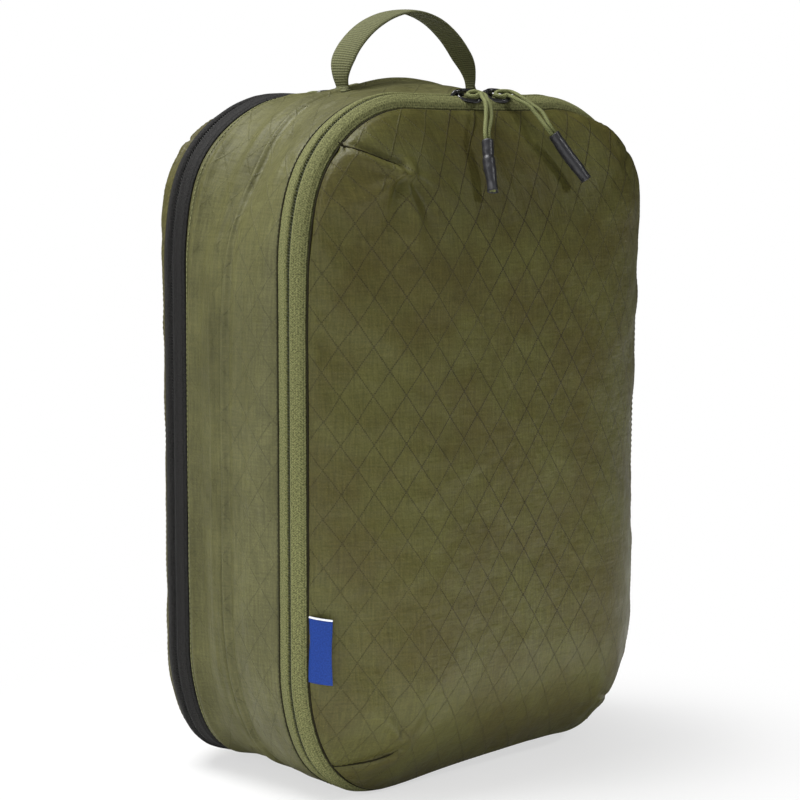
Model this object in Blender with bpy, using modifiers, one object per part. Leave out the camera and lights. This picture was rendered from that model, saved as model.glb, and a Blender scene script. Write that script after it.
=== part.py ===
"""Soft packing cube with two zipped compartments, standing on its base. Metres, +Z up, -Y is the front.

Two gusset strips and a divider make the body. A front lid and a rear lid hinge on fabric strips along the
base edge and close with a coil zipper that runs round the other sides. Each zipper has two sliders with a
wire ring, a cord and a shrunk sleeve. A webbing handle stands on the middle seam.
"""

from math import atan2, cos, pi, radians, sin

import bmesh
import bpy
from mathutils import Matrix, Vector

# ---- driving dimensions -------------------------------------------------------------------------
WIDTH = 0.248            # across the gusset
HEIGHT = 0.360           # gusset, base to top
TOP_RX, TOP_RZ = 0.074, 0.090       # upper corner, across and down
BASE_RX, BASE_RZ = 0.0535, 0.0705     # lower corner, across and up
GUSSET_EDGE = 0.0378     # half of the two gusset strips together
BAND = 0.0182            # zipper band, gusset edge to lid seam
SEAM_IN_TOP = 0.0060     # how far the band turns in by the lid seam, at the top
SEAM_IN_SIDE = 0.0040    # and at the sides
LID_BULGE = 0.0330       # the stuffed lid stands this far in front of its seam
CLOTH = 0.0008           # cloth and tape thickness in this model
GAP = 0.0003             # clearance between pieces
TRACK = 0.0012           # opening between the two tapes
COIL_R = 0.0006
HINGE_X = 0.0620         # the fabric hinge spans this far each side of the middle
HINGE_Z = -0.0002        # the fold line, just under the strip
WEB_WIDTH, WEB_THICK = 0.0150, 0.0014
WEB_SPAN_L, WEB_SPAN_R, WEB_RISE = -0.0470, 0.0470, 0.0415
WEB_AXIS_Z = HEIGHT + 0.0055
RING_LEN, RING_HALF, RING_WIRE = 0.0155, 0.0044, 0.00075
# side: slider x; ring yaw, pitch and roll in degrees; sleeve's upper end and lower end
PULLS = {
    "left": (-0.0095, 37, -4, 12, (-0.0201, -0.0815, 0.3370), (-0.0263, -0.0915, 0.3112)),
    "right": (0.0115, 22, -3, 12, (0.0285, -0.0815, 0.3405), (0.0420, -0.0925, 0.3165)),
}
CORD_R = 0.0010
SLEEVE_R, SLEEVE_WALL = 0.0032, 0.0005

TILT = atan2(SEAM_IN_TOP, BAND)     # the band's slope at the top
SPIN = Matrix.Rotation(pi, 4, "Z")  # the rear half is the front half turned about Z

for old in list(bpy.data.objects):
    bpy.data.objects.remove(old)
part = bpy.data.collections.new("packing_cube")
bpy.context.scene.collection.children.link(part)


# ---- helpers ------------------------------------------------------------------------------------
def material(name, rgb, roughness, metallic=0.0):
    m = bpy.data.materials.new(name)
    m.use_nodes = True
    b = m.node_tree.nodes["Principled BSDF"]
    b.inputs["Base Color"].default_value = (*rgb, 1.0)
    b.inputs["Roughness"].default_value = roughness
    b.inputs["Metallic"].default_value = metallic
    return m


OLIVE = material("ripstop_olive", (0.105, 0.108, 0.048), 0.55)
OLIVE_PLAIN = material("plain_olive", (0.115, 0.115, 0.055), 0.60)
OLIVE_TAPE = material("zip_tape_olive", (0.185, 0.200, 0.090), 0.80)
BLACK_TAPE = material("zip_tape_black", (0.016, 0.016, 0.018), 0.75)
OLIVE_WEB = material("webbing_olive", (0.150, 0.165, 0.070), 0.85)
BLACK_METAL = material("black_metal", (0.012, 0.012, 0.014), 0.30, 0.8)
RUBBER = material("sleeve_black", (0.030, 0.030, 0.036), 0.45)
CORD_OLIVE = material("cord_olive", (0.190, 0.210, 0.085), 0.80)
LABEL_BLUE = material("label_blue", (0.010, 0.045, 0.270), 0.70)
COIL_DARK = material("coil_dark", (0.014, 0.014, 0.013), 0.45)
MESH_GREY = material("divider_cloth", (0.090, 0.092, 0.050), 0.75)


def place(obj, mat, spin=False):
    """Puts obj in the part's collection with its material, turned to the rear if asked."""
    for c in list(obj.users_collection):
        c.objects.unlink(obj)
    part.objects.link(obj)
    obj.data.materials.clear()
    obj.data.materials.append(mat)
    if spin:
        obj.matrix_world = SPIN @ obj.matrix_world
    return obj


def from_bmesh(name, bm):
    me = bpy.data.meshes.new(name)
    bm.to_mesh(me)
    bm.free()
    obj = bpy.data.objects.new(name, me)
    bpy.context.scene.collection.objects.link(obj)
    return obj


def outline(width, height, rxt, rzt, rxb, rzb):
    """(x, z) points of the rounded outline, from the base's middle, up the left side, over and down."""
    w = width / 2
    half = [(0.0, 0.0), (-HINGE_X * 0.5, 0.0), (-min(HINGE_X, (w - rxb) * 0.985), 0.0)]
    half += [(-w + rxb - rxb * sin(a), rzb - rzb * cos(a)) for a in (pi / 2 * k / 7 for k in range(8))]
    half += [(-w, rzb + (height - rzb - rzt) * k / 4) for k in range(1, 4)]
    half += [(-w + rxt - rxt * cos(a), height - rzt + rzt * sin(a)) for a in (pi / 2 * k / 8 for k in range(9))]
    half += [((-w + rxt) * 0.5, height)]
    return half + [(0.0, height)] + [(-x, z) for x, z in reversed(half[1:])]


def gusset_line():
    return outline(WIDTH, HEIGHT, TOP_RX, TOP_RZ, BASE_RX, BASE_RZ)


def seam_line():
    return outline(WIDTH - 2 * SEAM_IN_SIDE, HEIGHT - SEAM_IN_TOP, TOP_RX, TOP_RZ, BASE_RX, BASE_RZ)


def on_band(k, t, inward=0.0):
    """Point k of the outline at share t of the front zipper band, moved inward from its surface."""
    g, s = gusset_line(), seam_line()
    (gx, gz), (sx, sz) = g[k], s[k]
    before, after = g[k - 1], g[(k + 1) % len(g)]
    nx, nz = -(after[1] - before[1]), after[0] - before[0]
    size = (nx * nx + nz * nz) ** 0.5
    nx, nz = nx / size, nz / size
    drop = (gx - sx) * nx + (gz - sz) * nz
    slope = atan2(drop, BAND)
    return Vector((
        gx + (sx - gx) * t - nx * cos(slope) * inward,
        -(GUSSET_EDGE + BAND * t) + sin(slope) * inward,
        gz + (sz - gz) * t - nz * cos(slope) * inward,
    ))


COUNT = len(gusset_line())
ZIP_KEYS = list(range(2, COUNT - 1))                       # round the sides and the top
HINGE_KEYS = [COUNT - 2, COUNT - 1, 0, 1, 2]               # along the base


def sheet(name, rows, closed, thickness=CLOTH):
    """A cloth piece: rows of points bridged into one surface, made solid towards the inside."""
    bm = bmesh.new()
    chains = []
    for row in rows:
        v = [bm.verts.new(p) for p in row]
        e = [bm.edges.new((v[i], v[i + 1])) for i in range(len(v) - 1)]
        if closed:
            e.append(bm.edges.new((v[-1], v[0])))
        chains.append(e)
    for a, b in zip(chains, chains[1:]):
        bmesh.ops.bridge_loops(bm, edges=a + b)
    return bm, chains


def solidify(obj, thickness=CLOTH):
    m = obj.modifiers.new("thickness", "SOLIDIFY")
    m.thickness = thickness
    m.offset = -1.0
    m.use_even_offset = True
    m.use_rim = True
    return obj


def face_out(bm, centre=Vector((0, 0, HEIGHT / 2)), along_y=None):
    """Turns every face away from the middle of the cube (or towards along_y)."""
    bm.normal_update()
    total = 0.0
    for f in bm.faces:
        out = f.calc_center_median() - centre
        if along_y is not None:
            out = Vector((0, along_y, 0))
        else:
            out.y = 0.0
        total += f.normal.dot(out) * f.calc_area()
    if total < 0:
        bmesh.ops.reverse_faces(bm, faces=bm.faces[:])
        bm.normal_update()


def band_piece(name, keys, t0, t1, mat, spin):
    bm, _ = sheet(name, [[on_band(k, t0) for k in keys], [on_band(k, t1) for k in keys]], False)
    face_out(bm)
    return place(solidify(from_bmesh(name, bm)), mat, spin)


def tube(name, points, radius, mat, spin=False, cyclic=False, resolution=0):
    """A POLY curve with a round bevel and filled caps."""
    cu = bpy.data.curves.new(name, "CURVE")
    cu.dimensions = "3D"
    cu.bevel_depth = radius
    cu.bevel_resolution = resolution
    cu.use_fill_caps = True
    sp = cu.splines.new("POLY")
    sp.points.add(len(points) - 1)
    for q, p in zip(sp.points, points):
        q.co = (*p, 1.0)
    sp.use_cyclic_u = cyclic
    obj = bpy.data.objects.new(name, cu)
    bpy.context.scene.collection.objects.link(obj)
    return place(obj, mat, spin)


def box(name, size, centre, frame=Matrix.Identity(4), bevel=0.0):
    bm = bmesh.new()
    bmesh.ops.create_cube(bm, size=1.0, matrix=Matrix.Translation(centre) @ Matrix.Diagonal((*size, 1.0)))
    bmesh.ops.transform(bm, matrix=frame, verts=bm.verts)
    if bevel:
        bmesh.ops.bevel(bm, geom=bm.edges[:], offset=bevel, segments=1, affect="EDGES")
    return from_bmesh(name, bm)


def as_mesh(obj):
    """A curve or modified object as a plain welded mesh object."""
    graph = bpy.context.evaluated_depsgraph_get()
    me = bpy.data.meshes.new_from_object(obj.evaluated_get(graph))
    bm = bmesh.new()
    bm.from_mesh(me)
    bmesh.ops.remove_doubles(bm, verts=bm.verts, dist=1e-6)
    bm.to_mesh(me)
    bm.free()
    new = bpy.data.objects.new(obj.name + "_m", me)
    bpy.context.scene.collection.objects.link(new)
    new.matrix_world = obj.matrix_world
    name = obj.name
    bpy.data.objects.remove(obj)
    new.name = name
    return new


def union(name, base, others):
    """Joins overlapping shapes into one body."""
    for k, o in enumerate(others):
        m = base.modifiers.new(f"join{k}", "BOOLEAN")
        m.operation, m.object, m.solver = "UNION", o, "EXACT"
    bpy.context.view_layer.update()
    whole = as_mesh(base)
    for o in others:
        bpy.data.objects.remove(o)
    whole.name = name
    whole.data.name = name
    return whole


# ---- the body: gusset strips, divider, handle ---------------------------------------------------
def gusset(name, y0, y1, mat):
    line = gusset_line()
    bm, _ = sheet(name, [[Vector((x, y, z)) for x, z in line] for y in (y0, y1)], True)
    face_out(bm)
    return place(solidify(from_bmesh(name, bm), 0.0010), mat)


gusset("front_gusset", -0.0006, -GUSSET_EDGE + GAP / 2, OLIVE)
gusset("rear_gusset", 0.0006, GUSSET_EDGE - GAP / 2, OLIVE_PLAIN)

flat = bpy.data.curves.new("divider_panel", "CURVE")
flat.dimensions = "2D"
flat.fill_mode = "BOTH"
flat.extrude = 0.0003
sp = flat.splines.new("POLY")
line = outline(WIDTH - 0.0016, HEIGHT - 0.0016, TOP_RX, TOP_RZ, BASE_RX, BASE_RZ)
sp.points.add(len(line) - 1)
for q, (x, z) in zip(sp.points, line):
    q.co = (x, z + 0.0008, 0.0, 1.0)
sp.use_cyclic_u = True
divider = bpy.data.objects.new("divider_panel", flat)
bpy.context.scene.collection.objects.link(divider)
divider.rotation_euler = (pi / 2, 0.0, 0.0)
bpy.context.view_layer.update()
place(divider, MESH_GREY)


def handle():
    """The free arch of the webbing. Its legs narrow where they are gathered above the seam."""
    n = 16
    bm = bmesh.new()
    left, right = [], []
    for k in range(n + 1):
        a = pi * k / n
        x = (WEB_SPAN_L + WEB_SPAN_R) / 2 - (WEB_SPAN_R - WEB_SPAN_L) / 2 * cos(a)
        z = WEB_AXIS_Z + WEB_RISE * max(0.0, sin(a)) ** 0.85
        rise = min(1.0, (z - WEB_AXIS_Z) / 0.020)
        half = 0.0035 + (WEB_WIDTH / 2 - 0.0035) * rise * rise * (3 - 2 * rise)
        left.append(bm.verts.new((x, -half, z)))
        right.append(bm.verts.new((x, half, z)))
    a = [bm.edges.new((left[i], left[i + 1])) for i in range(n)]
    b = [bm.edges.new((right[i], right[i + 1])) for i in range(n)]
    bmesh.ops.bridge_loops(bm, edges=a + b)
    face_out(bm, centre=Vector((0, 0, HEIGHT)))
    obj = from_bmesh("handle_webbing", bm)
    return place(solidify(obj, WEB_THICK), OLIVE_WEB)


handle()
for side, x in (("left", WEB_SPAN_L - 0.0072), ("right", WEB_SPAN_R + 0.0072)):
    # on the straight top of the gusset, beside the leg it is sewn to
    tab = box(f"handle_base_{side}", (0.0118, 0.0110, WEB_THICK), Vector((x, 0.0, HEIGHT + GAP + WEB_THICK / 2)), bevel=0.0003)
    shift = 0.0040 if side == "left" else -0.0040
    tab.location.x += shift
    bpy.context.view_layer.update()
    place(tab, OLIVE_WEB)


# ---- one zipped side: hinge strips, tapes, coils, lid, binding -----------------------------------
def lid_rows():
    """Rows of the stuffed lid from its seam to its flat middle. It rises faster at the sides than at the top."""
    seam_w, seam_h = WIDTH - 2 * SEAM_IN_SIDE, HEIGHT - SEAM_IN_TOP
    steps = [  # side inset, top inset, base inset, share of the bulge
        (0.0000, 0.0000, 0.0000, 0.00),
        (0.0035, 0.0050, 0.0035, 0.23),
        (0.0120, 0.0190, 0.0130, 0.52),
        (0.0260, 0.0420, 0.0290, 0.77),
        (0.0450, 0.0700, 0.0500, 0.92),
        (0.0700, 0.1000, 0.0800, 1.00),
    ]
    rows = []
    for side, top, base, share in steps:
        keep = 1.0 - min(0.75, side * 9)
        pts = outline(seam_w - 2 * side, seam_h - top - base, TOP_RX * keep, TOP_RZ * keep, BASE_RX * keep, BASE_RZ * keep)
        y = -(GUSSET_EDGE + BAND + GAP + LID_BULGE * share)
        rows.append([Vector((x, y, z + base)) for x, z in pts])
    return rows


def zipped_side(where, cloth, tape, spin):
    t_gap = TRACK / BAND / 2
    t_edge = GAP / BAND
    mid = 0.5
    band_piece(f"{where}_tape_body", ZIP_KEYS, t_edge, mid - t_gap, tape, spin)
    band_piece(f"{where}_tape_lid", ZIP_KEYS, mid + t_gap, 1.0 - t_edge, tape, spin)
    # the hinge strip is one strip of cloth, folded on the line between its two halves
    keys = HINGE_KEYS
    inset = 0.0012
    for half, t0, t1 in (("body", t_edge, mid - 0.0005 / BAND), ("lid", mid + 0.0005 / BAND, 1.0 - t_edge)):
        rows = []
        for t in (t0, t1):
            row = [on_band(k, t) for k in keys]
            row[0].x -= inset
            row[-1].x += inset
            rows.append(row)
        bm, _ = sheet("strip", rows, False)
        face_out(bm)
        place(solidify(from_bmesh(f"{where}_hinge_strip_{half}", bm)), cloth, spin)
    for half, t in (("body", mid - 0.0013 / BAND), ("lid", mid + 0.0013 / BAND)):
        path = [on_band(k, t, CLOTH + GAP + COIL_R) for k in ZIP_KEYS]
        tube(f"{where}_coil_{half}", path, COIL_R, COIL_DARK, spin)
    bm, chains = sheet("lid", lid_rows(), True)
    bmesh.ops.holes_fill(bm, edges=chains[-1], sides=0)
    face_out(bm, along_y=-1.0)
    place(solidify(from_bmesh(f"{where}_panel", bm)), cloth, spin)
    # binding over the raw seam edges, inside the lid
    rows = [[on_band(k, t, CLOTH + GAP) for k in range(COUNT)] for t in (0.76, 0.975)]
    bm, _ = sheet("binding", rows, True)
    face_out(bm)
    place(solidify(from_bmesh(f"{where}_lid_binding", bm), 0.0007), tape, spin)


zipped_side("front", OLIVE, OLIVE_TAPE, False)
zipped_side("rear", OLIVE_PLAIN, BLACK_TAPE, True)


# ---- sliders and pulls --------------------------------------------------------------------------
def slider_frame(x):
    """Origin on the band's surface over the track; X along it, Y towards the lid, Z out of the band."""
    t = Vector((0, -cos(TILT), -sin(TILT)))
    n = Vector((0, -sin(TILT), cos(TILT)))
    e = Vector((1, 0, 0))
    m = Matrix((e, t, n)).transposed().to_4x4()
    m.translation = Vector((x, -(GUSSET_EDGE + BAND / 2), HEIGHT - SEAM_IN_TOP / 2))
    return m


def ring_frame(side):
    """Origin on the ring's hinge under the crown; X along the ring, Y along its hinge, Z out of it."""
    x, yaw, pitch, roll = PULLS[side][:4]
    return (
        slider_frame(x)
        @ Matrix.Translation((0, 0, 0.0037))
        @ Matrix.Rotation(radians(yaw), 4, "Z")
        @ Matrix.Rotation(radians(pitch), 4, "Y")
        @ Matrix.Rotation(radians(roll), 4, "X")
    )


def mirrored_box(name, size, centre, frame, bevel=0.0):
    """slider_frame is left-handed, so the box's faces are turned back after it is placed."""
    obj = box(name, size, centre, frame, bevel)
    bm = bmesh.new()
    bm.from_mesh(obj.data)
    bmesh.ops.recalc_face_normals(bm, faces=bm.faces)
    bm.to_mesh(obj.data)
    bm.free()
    return obj


def slider(where, side, spin):
    f = slider_frame(PULLS[side][0])
    low = CLOTH + 2 * GAP + 2 * COIL_R
    plate = mirrored_box("plate", (0.0110, 0.0084, 0.0012), Vector((0, 0, 0.0009)), f, 0.0004)
    top, bottom = 0.0012, -low - GAP - 0.0006
    neck = mirrored_box("neck", (0.0040, 0.0005, top - bottom), Vector((0, 0, (top + bottom) / 2)), f)
    # the lower plate reaches only just under the body's tape, so that the lid can leave with the slider
    base = mirrored_box("base", (0.0098, 0.0046, 0.0010), Vector((0, 0.0012, -low - GAP - 0.0005)), f, 0.0002)
    lip = mirrored_box("lip", (0.0090, 0.0007, 0.0016), Vector((0, 0.0029, -low - GAP + 0.0004)), f)
    arch = [(-0.0036, 0.0010), (-0.0034, 0.0036), (-0.0023, 0.0053), (0.0, 0.0059), (0.0023, 0.0053), (0.0034, 0.0036), (0.0036, 0.0010)]
    crown = as_mesh(tube("crown", [f @ Vector((a, 0, b)) for a, b in arch], 0.00065, BLACK_METAL, resolution=1))
    body = union(f"{where}_slider_{side}", plate, [neck, base, lip, crown])
    place(body, BLACK_METAL, spin)

    r = ring_frame(side)
    half, length = RING_HALF, RING_LEN
    loop = [(half - half * cos(a), half * sin(a)) for a in (-pi / 2 + pi * k / 6 for k in range(7))]
    loop += [(length - half + half * cos(a), half * sin(a)) for a in (pi / 2 - pi * k / 6 for k in range(7))]
    tube(f"{where}_pull_ring_{side}", [r @ Vector((a, b, 0)) for a, b in loop], RING_WIRE, BLACK_METAL, spin, True, 1)

    # The cord: two strands from the sleeve, over and under the ring's far end, joined by a bend inside it
    end = r @ Vector((length, 0, 0))
    top, tip = Vector(PULLS[side][4]), Vector(PULLS[side][5])
    down = (tip - top).normalized()
    sleeve_len = (tip - top).length
    across = down.cross(Vector((0, -1, 0))).normalized()
    mid = Vector((end.x + (top.x - end.x) * 0.35, -0.0680, 0.3555))

    def strand(s):
        lift = r.to_3x3() @ Vector((0, 0, 1)) * (0.0022 * s)
        return [
            tip - down * 0.0012 + across * (0.00112 * s),
            top + down * 0.0015 + across * (0.00112 * s),
            top - down * 0.0030 + across * (0.00115 * s),
            mid + across * (0.0012 * s) + Vector((0, 0, 0.0006 * s)),
            end + (mid - end) * 0.45 + lift * 0.75,
            r @ Vector((length, 0, 0)) + lift,
        ]

    inside = r @ Vector((length - 0.0029, 0, 0))
    up = r.to_3x3() @ Vector((0, 0, 1))
    a, b = strand(1.0), strand(-1.0)
    bend = [inside + up * 0.0016, inside + (inside - end).normalized() * 0.0006, inside - up * 0.0016]
    tube(f"{where}_pull_cord_{side}", a + bend + b[::-1], CORD_R, CORD_OLIVE, spin, False, 1)

    # the shrunk sleeve is an open tube round both strands
    prof = [(SLEEVE_R * 0.96, 0.0), (SLEEVE_R, 0.001), (SLEEVE_R, sleeve_len - 0.001), (SLEEVE_R * 0.97, sleeve_len)]
    bm = bmesh.new()
    turn = down.to_track_quat("Z", "Y").to_matrix().to_4x4()
    turn.translation = top
    v = [bm.verts.new((q, 0, z)) for q, z in prof]
    e = [bm.edges.new((v[i], v[i + 1])) for i in range(3)]
    bmesh.ops.spin(bm, geom=v + e, cent=(0, 0, 0), axis=(0, 0, 1), angle=2 * pi, steps=14, use_merge=True, use_normal_flip=False)
    bmesh.ops.remove_doubles(bm, verts=bm.verts, dist=1e-6)
    bm.normal_update()
    if sum(fc.normal.dot(Vector((fc.calc_center_median().x, fc.calc_center_median().y, 0))) for fc in bm.faces) < 0:
        bmesh.ops.reverse_faces(bm, faces=bm.faces[:])
    bmesh.ops.transform(bm, matrix=turn, verts=bm.verts)
    place(solidify(from_bmesh(f"{where}_pull_sleeve_{side}", bm), SLEEVE_WALL), RUBBER, spin)


for where, spin in (("front", False), ("rear", True)):
    for side in ("left", "right"):
        slider(where, side, spin)

# ---- woven label, sewn into the left front seam --------------------------------------------------
LABEL_LOW, LABEL_HIGH, LABEL_OUT = 0.0660, 0.0990, 0.0128
label = box("woven_label", (LABEL_OUT, 0.0007, LABEL_HIGH - LABEL_LOW), Vector((LABEL_OUT / 2 + 0.0006, 0, 0)), bevel=0.0002)
label.location = (-(WIDTH / 2 - SEAM_IN_SIDE) - 0.0009, -(GUSSET_EDGE + BAND + 0.0004), (LABEL_LOW + LABEL_HIGH) / 2)
label.rotation_euler = (0, 0, -radians(78))
bpy.context.view_layer.update()
place(label, LABEL_BLUE)

for obj in part.objects:
    if obj.type == "MESH":
        obj.data.shade_smooth()
        obj.data.set_sharp_from_angle(angle=radians(40))
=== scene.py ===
"""Packing cube with two zipped compartments: the visible model, lights, floor and camera."""
import math

import bpy
import numpy as np
from mathutils import Matrix, Vector


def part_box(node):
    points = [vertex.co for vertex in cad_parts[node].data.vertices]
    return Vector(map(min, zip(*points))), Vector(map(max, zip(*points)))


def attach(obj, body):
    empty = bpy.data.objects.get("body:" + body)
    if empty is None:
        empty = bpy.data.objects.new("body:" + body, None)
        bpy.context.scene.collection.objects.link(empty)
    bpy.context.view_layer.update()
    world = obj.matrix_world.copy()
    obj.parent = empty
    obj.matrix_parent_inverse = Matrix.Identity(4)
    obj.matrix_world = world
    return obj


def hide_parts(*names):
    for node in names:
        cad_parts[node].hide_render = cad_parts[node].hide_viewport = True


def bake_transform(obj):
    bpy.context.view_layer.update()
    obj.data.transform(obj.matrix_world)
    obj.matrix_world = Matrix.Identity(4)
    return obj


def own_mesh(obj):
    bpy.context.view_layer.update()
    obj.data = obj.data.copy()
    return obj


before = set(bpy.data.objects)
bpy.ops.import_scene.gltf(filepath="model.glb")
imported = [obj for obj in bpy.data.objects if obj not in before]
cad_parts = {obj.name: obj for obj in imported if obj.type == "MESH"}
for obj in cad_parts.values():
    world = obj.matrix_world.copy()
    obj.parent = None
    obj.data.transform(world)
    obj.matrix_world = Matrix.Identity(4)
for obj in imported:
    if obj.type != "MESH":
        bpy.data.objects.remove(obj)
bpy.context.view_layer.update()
PI = math.pi

# ---------------------------------------------------------------- numbers shared with the CAD
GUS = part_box("front_gusset")
W = GUS[1][0] - GUS[0][0]
H = GUS[1][2] - GUS[0][2]
EDGE = 0.0378
BAND = 0.0182
SEAM_Y = EDGE + BAND
GAP_Y = EDGE + BAND / 2
TRX, TRZ, BRX, BRZ = 0.074, 0.090, 0.0535, 0.0705
HINGE_X = 0.0620
NS = 720


# ---------------------------------------------------------------- smooth seeded noise
def _hash(ix, iy, iz, seed):
    h = (ix * 374761393 + iy * 668265263 + iz * 2147483647 + seed * 1442695041) & 0xFFFFFFFF
    h = ((h ^ (h >> 13)) * 1274126177) & 0xFFFFFFFF
    return ((h ^ (h >> 16)) & 0xFFFFFF) / float(0xFFFFFF) * 2 - 1


def vnoise(x, y, z, seed=0):
    x, y, z = np.broadcast_arrays(np.asarray(x, float), np.asarray(y, float), np.asarray(z, float))
    ix, iy, iz = (np.floor(a).astype(np.int64) for a in (x, y, z))
    fx, fy, fz = x - ix, y - iy, z - iz
    s = lambda t: t * t * t * (t * (t * 6 - 15) + 10)
    u, v, w = s(fx), s(fy), s(fz)
    out = 0
    for dx in (0, 1):
        for dy in (0, 1):
            for dz in (0, 1):
                k = (u if dx else 1 - u) * (v if dy else 1 - v) * (w if dz else 1 - w)
                out = out + k * _hash(ix + dx, iy + dy, iz + dz, seed)
    return out


def fbm(x, y, z, seed=0, octaves=3, fall=0.5):
    a, tot, out = 1.0, 0.0, 0.0
    for o in range(octaves):
        f = 2.0 ** o
        out = out + a * vnoise(np.asarray(x) * f, np.asarray(y) * f, np.asarray(z) * f, seed + 17 * o)
        tot += a
        a *= fall
    return out / tot


def sstep(a, b, t):
    t = np.clip((np.asarray(t, float) - a) / (b - a), 0, 1)
    return t * t * (3 - 2 * t)


# ---------------------------------------------------------------- the outline
def _arc(cx, cz, rx, rz, a0, a1, m=90):
    a = np.linspace(a0, a1, m)
    return np.c_[cx + rx * np.cos(a), cz + rz * np.sin(a)]


def make_outline():
    w = W / 2
    P = np.vstack([
        [[0.0, 0.0]], [[-w + BRX, 0.0]],
        _arc(-w + BRX, BRZ, BRX, BRZ, -PI / 2, -PI), _arc(-w + TRX, H - TRZ, TRX, TRZ, PI, PI / 2),
        _arc(w - TRX, H - TRZ, TRX, TRZ, PI / 2, 0), _arc(w - BRX, BRZ, BRX, BRZ, 0, -PI / 2), [[0.0, 0.0]],
    ])
    P = P[np.r_[True, np.linalg.norm(np.diff(P, axis=0), axis=1) > 1e-7]]
    L = np.r_[0, np.cumsum(np.linalg.norm(np.diff(P, axis=0), axis=1))]
    s = np.linspace(0, L[-1], NS + 1)[:-1]
    Q = np.c_[np.interp(s, L, P[:, 0]), np.interp(s, L, P[:, 1])]
    T = np.roll(Q, -3, 0) - np.roll(Q, 3, 0)
    T /= np.linalg.norm(T, axis=1)[:, None]
    N = np.c_[-T[:, 1], T[:, 0]]
    return Q, N, s, L[-1]


O, ON, OS, OL = make_outline()
OX, OZ = O[:, 0], O[:, 1]
AT_BASE = (OZ < 0.0006) & (np.abs(OX) < HINGE_X)
first = int(np.argmax(~AT_BASE))
ZIP = np.arange(first - 1, NS - first + 2)               # the open run that carries the zipper
BASE_RUN = np.r_[np.arange(NS - first + 1, NS), np.arange(0, first)]


def smooth_loop(a, k=18):
    w = np.hanning(2 * k + 1)
    w /= w.sum()
    return np.convolve(np.r_[a[-k:], a, a[:k]], w, mode="valid")


# how far each line stands out from (+) or in from (-) the outline, round the loop
left, right = OX < 0, OX > 0
side_mid = sstep(0.035, 0.10, OZ) * (1 - sstep(0.235, 0.315, OZ)) * (np.abs(OX) > 0.09)
top_mid = np.where(OZ > 0.345, np.clip(1 - np.abs(OX + 0.006) / 0.056, 0, 1), 0)
ANG_T = np.exp(-((OZ - (H - 0.036)) / 0.026) ** 2) * (OZ > 0.25) * (np.abs(OX) > 0.04)     # upper corners
ANG_B = np.exp(-((OZ - 0.018) / 0.020) ** 2) * (OZ < 0.12) * (np.abs(OX) > 0.045)           # lower corners
CROWN = smooth_loop(0.0062 * side_mid + 0.0088 * np.sin(top_mid * PI / 2) ** 1.4 + 0.0012 * (OZ > 0.3) - 0.0042 * ANG_T)
CROWN_R = -0.0030 * np.exp(-((OZ - 0.003) / 0.009) ** 2) * sstep(0.045, 0.080, np.abs(OX))
EDGE_F = smooth_loop(ANG_T * np.where(left, 0.0036, 0.0050) + ANG_B * np.where(left, 0.0022, -0.0010))
LOW_B = np.exp(-((OZ - 0.003) / 0.008) ** 2) * sstep(0.045, 0.075, np.abs(OX))
EDGE_R = smooth_loop(ANG_T * 0.0040 + ANG_B * 0.0018 - LOW_B * 0.0040 + 0.0003 * (OZ > 0.1), 10)
on_top = OZ > H - 0.004
SEAM_F = -smooth_loop(
    np.select(
        [on_top, OZ > 0.27, OZ < 0.004],
        [0.0066, np.where(left, 0.0045, 0.0030), 0.0012 + 0.0042 * sstep(-0.04, 0.06, OX)],
        np.where(left, 0.0030, 0.0012 + 0.0034 * (1 - sstep(0.16, 0.27, OZ)) + 0.0034 * (1 - sstep(0.02, 0.09, OZ))),
    ),
    26,
)
SEAM_R = -smooth_loop(np.where(on_top, 0.0035, 0.0006), 26)


def lift(X, Y, Z):
    """The front's lower edge is drawn up a little off the table, more towards the right."""
    return (0.0006 + 0.0030 * sstep(-0.085, 0.0, X)) * sstep(-0.004, -0.046, Y) * np.clip(1 - Z / 0.11, 0, 1) ** 2


def band_off(t, seam):
    """Offset from the outline across the zipper band: t 0 at the gusset, 1 at the lid seam."""
    t = np.asarray(t)[None, :]
    edge = EDGE_F if seam is SEAM_F else EDGE_R
    return edge[:, None] + seam[:, None] * t ** 2.0 + 0.0016 * sstep(0.0, 0.03, OZ)[:, None] * np.sin(PI * np.clip(t, 0, 1)) ** 0.8


# ---------------------------------------------------------------- mesh helpers
SCENE = bpy.context.scene.collection


def finish_piece(obj, mat, body, nodes=()):
    if mat:
        obj.data.materials.clear()
        obj.data.materials.append(mat)
    if body:
        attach(obj, body)
    if nodes:
        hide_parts(*nodes)
    return obj


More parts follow.
